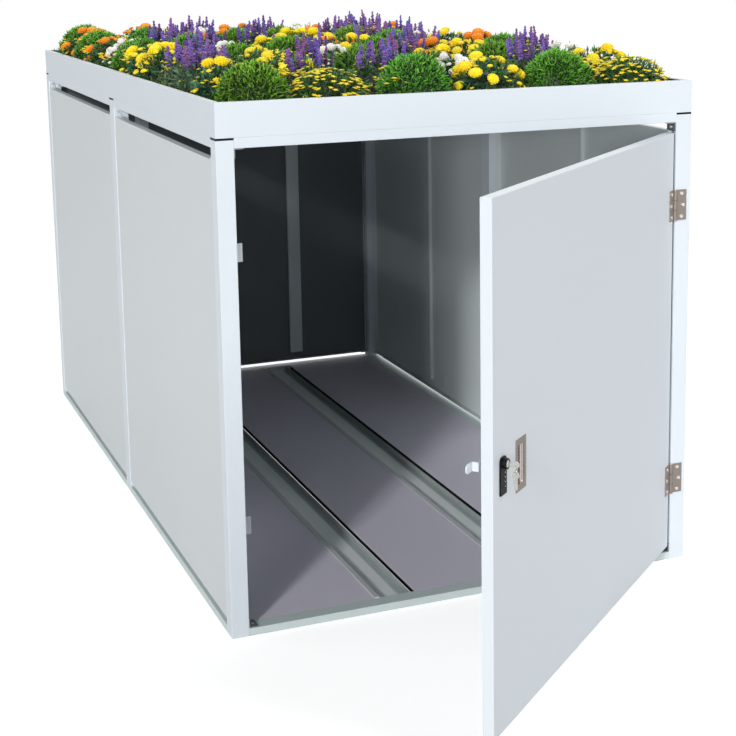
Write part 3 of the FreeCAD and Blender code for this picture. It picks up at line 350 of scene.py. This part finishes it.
def folded_copy(node, name, radius, material, body="frame", inside=None, to_shut=None):
    """Stands for a sheet or tube node, with its long outer edges rounded like a fold.

    Edges shorter than SHORTEST_FOLD, and those of faces no wider than SHEET_EDGE, stay sharp.
    """
    body_mesh = bmesh.new()
    body_mesh.from_mesh(NODES[node].data)
    if to_shut:
        bmesh.ops.transform(body_mesh, matrix=to_shut, verts=body_mesh.verts)
    bmesh.ops.remove_doubles(body_mesh, verts=body_mesh.verts, dist=SAME_SPOT)
    bmesh.ops.dissolve_limit(body_mesh, angle_limit=FLAT, verts=body_mesh.verts, edges=body_mesh.edges)
    edges = []
    for edge in body_mesh.edges:
        if len(edge.link_faces) != 2 or edge.calc_length() < SHORTEST_FOLD:
            continue
        if edge.calc_face_angle_signed() < SHARP:
            continue
        if min(face_width(face) for face in edge.link_faces) > SHEET_EDGE:
            edges.append(edge)
    bmesh.ops.bevel(
        body_mesh,
        geom=edges,
        offset=radius,
        segments=3,
        affect="EDGES",
        profile=0.5,
        material=-1,
        clamp_overlap=True,
    )
    if inside:
        inside(body_mesh)
    if to_shut:
        bmesh.ops.transform(body_mesh, matrix=to_shut.inverted(), verts=body_mesh.verts)
    piece = make_piece(name, body_mesh, material, body)
    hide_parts(node)
    return piece


def make_piece(name, body_mesh, materials, body):
    mesh = bpy.data.meshes.new(name)
    body_mesh.to_mesh(mesh)
    body_mesh.free()
    for material in materials if isinstance(materials, list) else [materials]:
        mesh.materials.append(material)
    piece = bpy.data.objects.new(name, mesh)
    bpy.context.scene.collection.objects.link(piece)
    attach(piece, body)
    return piece


def inner_faces(outward_axis):
    """Marks the faces of a wall panel that look into the locker."""
    def mark(body_mesh):
        for face in body_mesh.faces:
            towards = LOCKER_MIDDLE - face.calc_center_median()
            if face.normal[outward_axis] * towards[outward_axis] > 0.5 * abs(towards[outward_axis]):
                face.material_index = 1

    return mark


for node, material in {
    "lintel": FRAME_WHITE,
    "rear_top_rail": FRAME_WHITE,
    "side_top_rails": FRAME_WHITE,
    "sill": SILL_GREY,
    "rear_bottom_rail": SILL_GREY,
    "side_bottom_rails": SILL_GREY,
    "fascia_front": FRAME_WHITE,
    "fascia_rear": FRAME_WHITE,
    "fascia_left": FRAME_WHITE,
    "fascia_right": FRAME_WHITE,
}.items():
    folded_copy(node, node + "_folded", RAIL_FOLD, material)
for node in ("post_front_left", "post_front_right", "post_rear_left", "post_rear_right", "posts_middle"):
    folded_copy(node, node + "_tube", TUBE_FOLD, FRAME_WHITE)
for node, axis in (
    ("panel_left_front", 0),
    ("panel_left_rear", 0),
    ("panel_right_front", 0),
    ("panel_right_rear", 0),
    ("panel_rear", 1),
):
    # The rear panel's inner face takes the painted shade; the side panels' inner faces take the pale inside
    # colour.
    materials = [PANEL_WHITE, REAR_INSIDE_SHADE if node == "panel_rear" else PANEL_INSIDE]
    piece = folded_copy(node, node + "_folded", SHEET_FOLD, materials, inside=inner_faces(axis))
piece = folded_copy("door_front_sheet", "door_front_folded", SHEET_FOLD, DOOR_WHITE, "door", to_shut=SHUT)

for node, material in {
    "door_back_sheet": DOOR_WHITE,
    "door_uprights": DOOR_WHITE,
    "door_stops": FRAME_WHITE,
    "strike_plate": FRAME_WHITE,
    "frame_brackets": BRACKET_SHADE_GREY,
    "panel_brackets": FRAME_WHITE,
    "panel_stiffeners": PANEL_WHITE,
    "post_caps": CAP_BLACK,
    "floor_plate_left": FLOOR_GREY,
    "floor_plate_middle": FLOOR_GREY,
    "floor_plate_right": FLOOR_GREY,
    # Near-black bearers: painted shade seen through the slots in the floor.
    "floor_bearers": SLOT_BLACK,
    "wheel_channels": CHANNEL_GREY,
    "roof_beams": BEAM_GREY,
    "planting_tray": TRAY_ZINC,
    "drainage_mat": FELT,
    "soil_bed": SOIL,
    "bracket_screws": SCREW_STEEL,
    "hinge_post_leaves": HINGE_STEEL,
    "hinge_door_leaves": HINGE_STEEL,
    "hinge_pins": KNUCKLE_HIGHLIGHT_STEEL,
    "hinge_screws_post": SCREW_STEEL,
    "hinge_screws_door": SCREW_STEEL,
    "pull_handle": PULL_STEEL,
    "lock_plate": LOCK_BLACK,
    "lock_barrel": LOCK_BLACK,
    "lock_nut": SCREW_STEEL,
    "lock_plug": NICKEL,
    "cam_screw": SCREW_STEEL,
    "lock_cam": DOOR_WHITE,
    "key": NICKEL,
    "key_ring": NICKEL,
    "spare_key": NICKEL,
}.items():
    paint(node, material)


def lock_dots():
    """Four raised dots on the lock's plate."""
    lowest, apart, front = 584, 10, 0.9
    dots = bmesh.new()
    for number in range(4):
        made = bmesh.ops.create_cone(
            dots, cap_ends=True, segments=12, radius1=1.5 * MM, radius2=0.9 * MM, depth=0.6 * MM
        )
        spot = Vector((LOCK_DOT_COLUMN, front, lowest + apart * number)) * MM
        place = DOOR_PLACE @ Matrix.Translation(spot) @ Matrix.Rotation(math.pi / 2, 4, "X")
        bmesh.ops.transform(dots, matrix=place, verts=made["verts"])
    make_piece("lock_plate_dots", dots, DOT_WHITE, "door")


lock_dots()


def pull_lip():
    """The polished lip of the pull's cup, on its hinge side."""
    profile = ((12.5, 4.2), (8.3, 4.4), (8.0, 5.9), (4.1, 8.6), (2.5, 19.3), (12.5, 19.3))
    bottom, height = 561.2, 85.6
    lip = bmesh.new()
    corners = [lip.verts.new(Vector((PULL_MIDDLE + x, y, bottom)) * MM) for x, y in profile]
    made = bmesh.ops.extrude_face_region(lip, geom=[lip.faces.new(corners)])
    top = [corner for corner in made["geom"] if isinstance(corner, bmesh.types.BMVert)]
    bmesh.ops.translate(lip, verts=top, vec=(0, 0, height * MM))
    bmesh.ops.recalc_face_normals(lip, faces=lip.faces)
    bmesh.ops.transform(lip, matrix=DOOR_PLACE, verts=lip.verts)
    make_piece("pull_lip", lip, PULL_POLISH, "door")


pull_lip()


def knuckle_joints():
    """The dark joints between the three knuckles of each hinge."""
    joints = bmesh.new()
    radius = 5.15 * MM
    for middle in HINGE_MIDDLES:
        for side in (-1, 1):
            made = bmesh.ops.create_cone(
                joints, cap_ends=True, segments=24, radius1=radius, radius2=radius, depth=0.9 * MM
            )
            height = (middle + side * HINGE_HEIGHT / 6) * MM
            bmesh.ops.translate(joints, verts=made["verts"], vec=(HINGE.x, HINGE.y, height))
    make_piece("hinge_knuckle_joints", joints, SLOT_BLACK, "frame")


knuckle_joints()


# Planting
chance = np.random.default_rng(41)


def domes(node):
    """Centre on the soil, half width and height of each plant of a CAD node."""
    body_mesh = bmesh.new()
    body_mesh.from_mesh(NODES[node].data)
    bmesh.ops.remove_doubles(body_mesh, verts=body_mesh.verts, dist=SAME_SPOT)
    seen = set()
    found = []
    for start in body_mesh.verts:
        if start in seen:
            continue
        seen.add(start)
        reached = [start]
        for vertex in reached:
            for edge in vertex.link_edges:
                other = edge.other_vert(vertex)
                if other not in seen:
                    seen.add(other)
                    reached.append(other)
        points = np.array([vertex.co for vertex in reached])
        low, high = points.min(0), points.max(0)
        middle = (low + high) / 2
        found.append((middle[0], middle[1], low[2], (high[0] - low[0]) / 2, high[2] - low[2]))
    body_mesh.free()
    return found


def spindle(sides, width, belly=0.4, flat=1.0, valley=1.0):
    """A closed leaf, petal or stalk from (0, 0, 0) to (0, 0, 1); a valley makes it a star."""
    shape = bmesh.new()
    for low, high, start, end in ((0, belly, 0, width / 2), (belly, 1, width / 2, 0)):
        made = bmesh.ops.create_cone(
            shape, cap_ends=False, segments=sides, radius1=start, radius2=end, depth=high - low
        )
        bmesh.ops.translate(shape, verts=made["verts"], vec=(0, 0, (low + high) / 2))
    bmesh.ops.remove_doubles(shape, verts=shape.verts, dist=0.001)
    ring = [vertex for vertex in shape.verts if vertex.co.xy.length > 0.01]
    ring.sort(key=lambda vertex: math.atan2(vertex.co.y, vertex.co.x))
    bmesh.ops.scale(shape, vec=(valley, valley, 1), verts=ring[::2])
    bmesh.ops.scale(shape, vec=(1, flat, 1), verts=shape.verts)
    bmesh.ops.recalc_face_normals(shape, faces=shape.faces)
    return shape


def pom(steps, height, ruffle):
    """A double bloom, one unit wide: a flattened ball whose every facet stands up as a petal."""
    shape = bmesh.new()
    bmesh.ops.create_icosphere(shape, subdivisions=steps, radius=0.5)
    bmesh.ops.poke(shape, faces=shape.faces, offset=ruffle)
    bmesh.ops.scale(shape, vec=(0.92, 0.92, height), verts=shape.verts)
    bmesh.ops.translate(shape, verts=shape.verts, vec=(0, 0, height / 2))
    return shape


def join(shape, part, place):
    """Adds a part at its place, and frees it."""
    mesh = bpy.data.meshes.new("part")
    bmesh.ops.transform(part, matrix=place, verts=part.verts)
    part.to_mesh(mesh)
    part.free()
    shape.from_mesh(mesh)
    bpy.data.meshes.remove(mesh)


def spike():
    """A flower spike one unit tall: whorls of star shape that taper to a tip, on a bare stalk."""
    shape = bmesh.new()
    whorls = 7
    for number in range(whorls):
        share = number / (whorls - 1)
        width = (1.0 - 0.62 * share**1.3) * (0.8 if number % 2 else 1.05)
        tilt = Matrix.Rotation(0.18 * math.cos(number * 2.1), 4, "X")
        turn = Matrix.Rotation(number * 0.7, 4, "Z")
        place = Matrix.Translation((0, 0, 0.12 + 0.66 * share)) @ turn @ tilt
        join(shape, spindle(8, 1.0, 0.55, valley=0.42), place @ Matrix.Diagonal((width, width, 0.22, 1)))
    join(shape, spindle(3, 0.2, 0.3), Matrix.Diagonal((1, 1, 0.4, 1)))
    return shape


def sprig():
    """A short pointed leaf with a closed foot."""
    shape = bmesh.new()
    bmesh.ops.create_cone(shape, cap_ends=True, segments=3, radius1=0.5, radius2=0, depth=1)
    bmesh.ops.translate(shape, verts=shape.verts, vec=(0, 0, 0.5))
    bmesh.ops.scale(shape, vec=(1, 0.6, 1), verts=shape.verts)
    return shape


def half_ball():
    shape = bmesh.new()
    bmesh.ops.create_icosphere(shape, subdivisions=2, radius=1.0)
    bmesh.ops.bisect_plane(
        shape,
        geom=shape.verts[:] + shape.edges[:] + shape.faces[:],
        plane_co=(0, 0, 0.02),
        plane_no=(0, 0, 1),
        clear_inner=True,
    )
    bmesh.ops.holes_fill(shape, edges=[edge for edge in shape.edges if edge.is_boundary])
    return shape


class Bed:
    """Copies of small shapes that together make one piece of the planting.

    The shade of a copy runs from 0, dark, to 1, lit, and its tint from one lit colour to the other.
    """

    def __init__(self):
        self.points = []
        self.faces = []
        self.shades = []
        self.tints = []
        self.count = 0

    def spread(self, shape, places, shades, foot, tint=0.0):
        """Adds a copy of a shape at each place; foot is the share of its shade left at its foot."""
        if not len(places):
            return
        shape.verts.index_update()
        local = np.array([list(vertex.co) + [1.0] for vertex in shape.verts])
        faces = [[vertex.index for vertex in face.verts] for face in shape.faces]
        points = np.einsum("nij,vj->nvi", np.array(places), local)[:, :, :3]
        rise = np.clip(local[:, 2], 0, 1) * (1 - foot) + foot
        size = len(local)
        for index in range(len(places)):
            base = self.count + index * size
            self.faces += [[base + corner for corner in face] for face in faces]
        self.points.append(points.reshape(-1, 3))
        self.shades.append((np.array(shades)[:, None] * rise[None, :]).reshape(-1))
        self.tints.append(np.repeat(np.broadcast_to(tint, len(places)), size))
        self.count += size * len(places)

    def piece(self, name, material, slot, *stands_for):
        mesh = bpy.data.meshes.new(name)
        mesh.from_pydata(inside_rim(np.concatenate(self.points)).tolist(), [], self.faces)
        for title, values in (("shade", self.shades), ("tint", self.tints)):
            layer = mesh.attributes.new(title, "FLOAT", "POINT")
            layer.data.foreach_set("value", np.concatenate(values).astype(np.float32))
        mesh.materials.append(material)
        piece = bpy.data.objects.new(name, mesh)
        bpy.context.scene.collection.objects.link(piece)
        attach(piece, "frame")
        if stands_for:
            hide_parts(*stands_for)
        return piece


def inside_rim(points):
    """Keeps leaves behind the fascia's fold up to its top, and on the soil."""
    low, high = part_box("fascia_front")[0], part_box("fascia_rear")[1]
    fold = 16 * MM
    sunk = 4 * MM
    above = 3 * MM
    points[:, 2] = np.maximum(points[:, 2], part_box("soil_bed")[1].z - sunk)
    below = points[:, 2] < high.z + above
    for axis in (0, 1):
        points[below, axis] = np.clip(points[below, axis], low[axis] + fold, high[axis] - fold)
    return points


def aimed(place, direction, length, width):
    """Matrix that stands a unit shape on a place, along a direction, turned by chance."""
    direction = direction / np.linalg.norm(direction)
    helper = np.array([0.0, 0.0, 1.0]) if abs(direction[2]) < 0.9 else np.array([1.0, 0.0, 0.0])
    side = np.cross(helper, direction)
    side /= np.linalg.norm(side)
    twist = chance.uniform(0, math.tau)
    first = side * math.cos(twist) + np.cross(direction, side) * math.sin(twist)
    matrix = np.eye(4)
    matrix[:3, 0] = first * width
    matrix[:3, 1] = np.cross(direction, first) * width
    matrix[:3, 2] = direction * length
    matrix[:3, 3] = place
    return matrix


def dome_directions(count, lowest=-0.05):
    """Directions spread evenly over the upper side of a ball."""
    rise = chance.uniform(lowest, 1.0, count)
    turn = chance.uniform(0, math.tau, count)
    flat = np.sqrt(np.clip(1 - rise**2, 0, 1))
    return np.stack([flat * np.cos(turn), flat * np.sin(turn), rise], 1)


def foliage(bed, leaf, dome, count, length, width, depth, rise, loose, tint, bulge=0.06):
    """Covers one plant's dome with leaves that point out and up.

    Depth is how far out they stand, as shares of the dome; rise lifts their tips, and loose
    lets them stray; bulge makes the dome uneven.
    """
    x, y, z, radius, height = dome
    places = []
    shades = []
    phase = chance.uniform(0, math.tau, 2)
    for direction in dome_directions(count):
        turn = math.atan2(direction[1], direction[0])
        waves = math.sin(3 * turn + phase[0]) + math.sin(5 * turn + 4 * direction[2] + phase[1])
        swell = 1 + bulge * waves
        share = chance.uniform(*depth)
        spot = direction * np.array([radius, radius, height]) * share * swell
        spot[2] = max(spot[2], 0.001)
        aim = direction / np.array([radius, radius, height])
        aim = aim / np.linalg.norm(aim) + np.array([0, 0, rise]) + chance.normal(0, loose, 3)
        scale = chance.uniform(0.75, 1.25)
        places.append(aimed(spot + [x, y, z], aim, length * scale, width * scale))
        inner = (share - depth[0]) / (depth[1] - depth[0])
        shades.append((0.4 + 0.6 * inner) * chance.uniform(0.6, 1.2) * (0.65 + 0.35 * max(direction[2], 0)))
    bed.spread(leaf, places, shades, 0.25, tint)


def core(bed, dome, share):
    """Closes the middle of a plant, in the dark behind its leaves."""
    shade = 0.1
    x, y, z, radius, height = dome
    matrix = np.diag([radius * share, radius * share, height * share, 1.0])
    matrix[:3, 3] = (x, y, z)
    bed.spread(BALL, [matrix], [shade], 1.0)


def blooms_on(bed, shape, dome, count, width, lowest, lift, apart=0.92, lean=0.5):
    """Sets blooms on a plant's dome, from a level upward.

    They stand at least apart times their width from each other; lift is their place as a share
    of the dome, and lean turns them outwards.
    """
    foot = 0.45
    x, y, z, radius, height = dome
    taken = []
    places = []
    shades = []
    for _ in range(count * 10):
        if len(taken) == count:
            break
        direction = dome_directions(1, lowest)[0]
        spot = direction * np.array([radius, radius, height]) * lift
        if any(np.linalg.norm(spot - other) < width * apart for other in taken):
            continue
        taken.append(spot)
        aim = np.array([direction[0] * lean, direction[1] * lean, 1.0]) + chance.normal(0, 0.12, 3)
        size = width * chance.uniform(0.8, 1.15)
        places.append(aimed(spot + [x, y, z], aim, size, size))
        shades.append(chance.uniform(0.85, 1.1))
    bed.spread(shape, places, shades, foot, chance.uniform(0, 1, len(places)))


def moved(dome, size=(0.95, 1.06)):
    """The same plant, a little off its grid place and of its own size."""
    astray = 11 * MM
    x, y, z, radius, height = dome
    shift = chance.uniform(-astray, astray, 2)
    scale = chance.uniform(*size)
    return (x + shift[0], y + shift[1], z, radius * scale, height * scale)


def resized(dome, wide, tall):
    return dome[:3] + (dome[3] * wide, dome[4] * tall)


BALL = half_ball()
SPRIG = sprig()
LEAF = spindle(4, 0.8, 0.45, 0.25)
BLADE = spindle(3, 1.0, 0.4)
MARIGOLD = pom(2, 0.6, 0.1)
SMALL_BLOOM = pom(1, 0.5, 0.12)
WHITE_HEAD = pom(2, 0.75, 0.15)
DAISY = spindle(10, 1.0, 0.6, valley=0.5)
bmesh.ops.scale(DAISY, vec=(1, 1, 0.28), verts=DAISY.verts)
SPIKE = spike()


def plant_box_bushes():
    bed = Bed()
    for dome in domes("box_bushes"):
        dome = moved(resized(dome, 0.98, 0.96))
        tint = chance.uniform(0, 1)
        core(bed, dome, 0.84)
        foliage(bed, SPRIG, dome, 2500, 13 * MM, 7 * MM, (0.76, 0.96), 0.15, 0.55, tint, 0.02)
    bed.piece("box_bush_leaves", BOX_GREEN, "box_leaves", "box_bushes")


def plant_marigolds(small_blooms):
    greens = Bed()
    for node, material, slot in (
        ("marigolds_yellow", YELLOW, "yellow_flowers"),
        ("marigolds_orange", ORANGE, "orange_flowers"),
    ):
        blooms = Bed()
        for dome in domes(node):
            dome = moved(dome)
            low = resized(dome, 1.0, 0.8)
            core(greens, low, 0.66)
            tint = chance.uniform(0, 1)
            foliage(greens, LEAF, low, 620, 20 * MM, 9 * MM, (0.6, 1.0), 0.1, 0.7, tint)
            heads = int(chance.integers(9, 13))
            blooms_on(blooms, MARIGOLD, resized(dome, 0.96, 0.86), heads, 37 * MM, 0.05, 1.0, 0.8)
            blooms_on(blooms, SMALL_BLOOM, resized(dome, 1.0, 0.84), 14, 20 * MM, -0.05, 1.03)
            blooms_on(small_blooms, DAISY, low, 26, 16 * MM, -0.05, 1.06, 0.8, 0.3)
        blooms.piece(node + "_blooms", material, slot, node)
    greens.piece("marigold_leaves", DARK_GREEN, "box_leaves")


def spikes_on(bed, dome, count):
    x, y, z, radius, height = dome
    places = []
    shades = []
    for number in range(count):
        reach = math.sqrt((number + chance.uniform(0.2, 0.8)) / count) * 0.8
        turn = number * 2.4 + chance.uniform(-0.4, 0.4)
        spot = np.array([math.cos(turn), math.sin(turn), 0]) * reach * radius
        top = height * (0.92 - 0.3 * reach**2) * chance.uniform(0.72, 1.0)
        tall = top * chance.uniform(0.46, 0.58)
        spot[2] = top - tall
        aim = np.array([spot[0], spot[1], 0]) * 2.0 + np.array([0, 0, 1.0]) + chance.normal(0, 0.09, 3)
        places.append(aimed(spot + [x, y, z], aim, tall, chance.uniform(20, 28) * MM))
        shades.append(chance.uniform(0.5, 1.25))
    bed.spread(SPIKE, places, shades, 0.4, chance.uniform(0, 1, len(places)))


def plant_salvias(small_blooms):
    greens = Bed()
    blooms = Bed()
    for dome in domes("salvias"):
        dome = moved(dome, size=(0.95, 1.02))
        low = resized(dome, 1.08, 0.52)
        core(greens, low, 0.6)
        tint = chance.uniform(0, 1)
        foliage(greens, LEAF, low, 460, 20 * MM, 6 * MM, (0.55, 1.0), 0.4, 0.6, tint)
        tall = resized(dome, 0.8, 0.62)
        foliage(greens, BLADE, tall, 110, 28 * MM, 2 * MM, (0.5, 0.9), 1.4, 0.3, tint)
        spikes_on(blooms, dome, 17)
        blooms_on(small_blooms, DAISY, resized(dome, 1.0, 0.6), 34, 12 * MM, 0.0, 1.04, 0.8, 0.4)
    greens.piece("salvia_leaves", GREY_GREEN, "box_leaves")
    blooms.piece("salvia_spikes", PURPLE, "purple_flowers", "salvias")


def plant_white_blooms():
    greens = Bed()
    blooms = Bed()
    for dome in domes("white_blooms"):
        dome = moved(dome)
        low = resized(dome, 1.0, 0.76)
        core(greens, low, 0.64)
        tint = chance.uniform(0, 1)
        foliage(greens, LEAF, low, 480, 19 * MM, 8 * MM, (0.6, 1.0), 0.1, 0.6, tint)
        blooms_on(blooms, WHITE_HEAD, resized(dome, 0.86, 0.86), 14, 23 * MM, 0.3, 1.0, 0.7)
        blooms_on(blooms, SMALL_BLOOM, low, 10, 15 * MM, 0.0, 1.04)
    greens.piece("white_bloom_leaves", DARK_GREEN, "box_leaves")
    blooms.piece("white_bloom_heads", WHITE_BLOOM, "white_flowers", "white_blooms")


def bed_edge(margin):
    """Left, right, front and rear of the soil that plants may root in, and its level."""
    low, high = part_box("soil_bed")
    return low.x + margin, high.x - margin, low.y + margin, high.y - margin, high.z


def plant_bidens(small_blooms):
    greens = Bed()
    for dome in domes("bidens"):
        dome = moved(dome, size=(1.0, 1.05))
        low = resized(dome, 1.0, 0.92)
        core(greens, low, 0.6)
        tint = chance.uniform(0, 1)
        foliage(greens, BLADE, low, 900, 20 * MM, 4 * MM, (0.55, 0.98), 0.2, 0.7, tint)
        blooms_on(small_blooms, DAISY, low, 150, 18 * MM, -0.05, 1.05, 0.5, 0.3)
    greens.piece("bidens_leaves", FINE_GREEN, "box_leaves")
    # Drifts of small yellow blooms between the other plants
    left, right, front, rear, level = bed_edge(30 * MM)
    places = []
    for _ in range(150):
        middle = (chance.uniform(left, right), chance.uniform(front, rear))
        height = chance.uniform(26, 66) * MM
        for _ in range(14):
            spot = np.clip(middle + chance.normal(0, 24 * MM, 2), (left, front), (right, rear))
            lift = level + height + chance.uniform(-10, 10) * MM
            size = chance.uniform(15, 21) * MM
            aim = np.array([0, 0, 1.0]) + chance.normal(0, 0.2, 3)
            places.append(aimed(np.array([spot[0], spot[1], lift]), aim, size, size))
    shades = chance.uniform(0.8, 1.1, len(places))
    small_blooms.spread(DAISY, places, shades, 0.5, chance.uniform(0, 1, len(places)))
    small_blooms.piece("bidens_blooms", SMALL_YELLOW, "small_yellow_flowers", "bidens")


def plant_ground():
    """Low leaves that close the gaps between the plants, and the loose soil under them."""
    left, right, front, rear, level = bed_edge(22 * MM)
    greens = Bed()
    crumbs = Bed()
    for bed, shape, count, sizes, thin, sink in (
        (greens, LEAF, 4800, (14, 30), 0.32, 0.0),
        (greens, BLADE, 3600, (16, 40), 0.12, 0.0),
        (crumbs, SMALL_BLOOM, 1500, (5, 14), 1.0, 2.0),
    ):
        places = []
        shades = []
        for _ in range(count):
            spot = (chance.uniform(left, right), chance.uniform(front, rear), level - sink * MM)
            aim = np.array([0, 0, 1.0]) + chance.normal(0, 0.5, 3) * [1, 1, 0]
            size = chance.uniform(*sizes) * MM
            places.append(aimed(np.array(spot), aim, size, size * thin))
            shades.append(chance.uniform(0.2, 0.85))
        bed.spread(shape, places, shades, 0.25, chance.uniform(0, 1, count))
    greens.piece("ground_leaves", FINE_GREEN, "box_leaves")
    crumbs.piece("soil_crumbs", SOIL, "soil")


def plant_everything():
    small_blooms = Bed()
    plant_box_bushes()
    plant_marigolds(small_blooms)
    plant_salvias(small_blooms)
    plant_white_blooms()
    plant_bidens(small_blooms)
    plant_ground()


plant_everything()


# Studio
def make_floor():
    """A pale floor that keeps the locker's shadow near it and fades to plain white further out."""
    fade_start, fade_length = 2.4, 2.5
    bed = bmesh.new()
    bmesh.ops.create_grid(bed, x_segments=1, y_segments=1, size=60)
    bmesh.ops.translate(bed, verts=bed.verts, vec=(0, 0, -0.5 * MM))
    mesh = bpy.data.meshes.new("studio_floor")
    bed.to_mesh(mesh)
    bed.free()
    finish = Finish("studio_floor_white")
    finish.set(Base_Color=(0.78, 0.78, 0.78, 1), Roughness=1.0, Specular_IOR_Level=0.0)
    seen = finish.add("ShaderNodeLightPath", output="Is Camera Ray")
    reach = finish.add("ShaderNodeVectorMath", {"operation": "LENGTH"}, {0: finish.place()}, output=1)
    far = ((reach - fade_start) * (1 / fade_length)).at_least(0.0).at_most(1.0)
    glow = finish.add("ShaderNodeEmission", None, {"Color": (1, 1, 1, 1), "Strength": 0.62})
    white = finish.add("ShaderNodeEmission", None, {"Color": (1, 1, 1, 1), "Strength": 1.0})
    near = finish.add("ShaderNodeAddShader", None, {0: finish.shader.outputs[0], 1: glow})
    added = finish.add("ShaderNodeMixShader", None, {0: far, 1: near, 2: white})
    chosen = finish.add("ShaderNodeMixShader", None, {0: seen, 1: finish.shader.outputs[0], 2: added})
    finish.feed(finish.tree.nodes["Material Output"].inputs["Surface"], chosen)
    mesh.materials.append(finish.material)
    floor = bpy.data.objects.new("studio_floor", mesh)
    bpy.context.scene.collection.objects.link(floor)


def make_world(strength):
    """Gives light of this strength, and looks plain white to the camera and in gloss."""
    world = bpy.data.worlds.new("studio_white")
    bpy.context.scene.world = world
    world.use_nodes = True
    sky = Nodes(world.node_tree)
    background = sky.tree.nodes["Background"]
    seen = sky.add("ShaderNodeLightPath", output="Is Camera Ray")
    for ray in ("Is Glossy Ray", "Is Transmission Ray"):
        seen = seen.at_least(sky.add("ShaderNodeLightPath", output=ray))
    sky.feed(background.inputs["Color"], (1, 1, 1, 1))
    sky.feed(background.inputs["Strength"], seen * (1 - strength) + strength)


def make_lamp(name, azimuth, elevation, distance, size, level, aim=(0, -1.2, 0.7)):
    """A soft lamp; a white card that faces it at the aimed point would show this level.

    Azimuth 0 is in front of the locker and plus is to the right; angles are in degrees, and
    distance and size in metres.
    """
    light = bpy.data.lights.new(name, "AREA")
    light.shape = "RECTANGLE"
    light.size, light.size_y = size
    light.energy = level * (math.pi * distance) ** 2
    lamp = bpy.data.objects.new(name, light)
    bpy.context.scene.collection.objects.link(lamp)
    turn, rise = math.radians(azimuth), math.radians(elevation)
    towards = Vector((math.sin(turn) * math.cos(rise), -math.cos(turn) * math.cos(rise), math.sin(rise)))
    lamp.location = Vector(aim) + towards * distance
    lamp.rotation_mode = "QUATERNION"
    lamp.rotation_quaternion = towards.to_track_quat("Z", "Y")
    lamp.visible_camera = False


def make_camera():
    """The photograph's viewing angle; focal length and middle are in pixels of the picture."""
    place = (-1.5833, -4.6993, 1.6629)
    yaw, pitch, roll = math.radians(22.688), math.radians(9.765), math.radians(-0.638)
    picture = 736
    focal, middle_x, middle_y = 1543.2, 425.0, 221.0
    forward = Vector((math.sin(yaw) * math.cos(pitch), math.cos(yaw) * math.cos(pitch), -math.sin(pitch)))
    right = Vector((math.cos(yaw), -math.sin(yaw), 0))
    up = right.cross(forward)
    across = right * math.cos(roll) + up * math.sin(roll)
    over = up * math.cos(roll) - right * math.sin(roll)
    data = bpy.data.cameras.new("camera")
    data.sensor_width = 36
    data.lens = focal / picture * data.sensor_width
    data.shift_x = (picture / 2 - middle_x) / picture
    data.shift_y = (middle_y - picture / 2) / picture
    data.clip_start = 0.1
    data.clip_end = 100
    camera = bpy.data.objects.new("camera", data)
    bpy.context.scene.collection.objects.link(camera)
    turned = Matrix((across, over, -forward)).transposed().to_4x4()
    camera.matrix_world = Matrix.Translation(place) @ turned
    bpy.context.scene.camera = camera


make_floor()
make_world(0.17)
make_lamp("studio_low", -38, 5, 30.0, (3.9, 3.9), 0.27)
make_lamp("studio_key", -42, 21, 30.0, (2.4, 2.4), 0.47)
make_lamp("studio_right", 48, 40, 16.0, (6.8, 6.8), 0.41)
make_lamp("studio_left", -108, 20, 9.0, (4.0, 2.2), 0.11, (-0.6, 0.8, 0.7))
make_lamp("studio_back", 160, 42, 6.0, (3.0, 2.0), 0.28)
make_camera()
bpy.context.scene.view_settings.view_transform = "Standard"
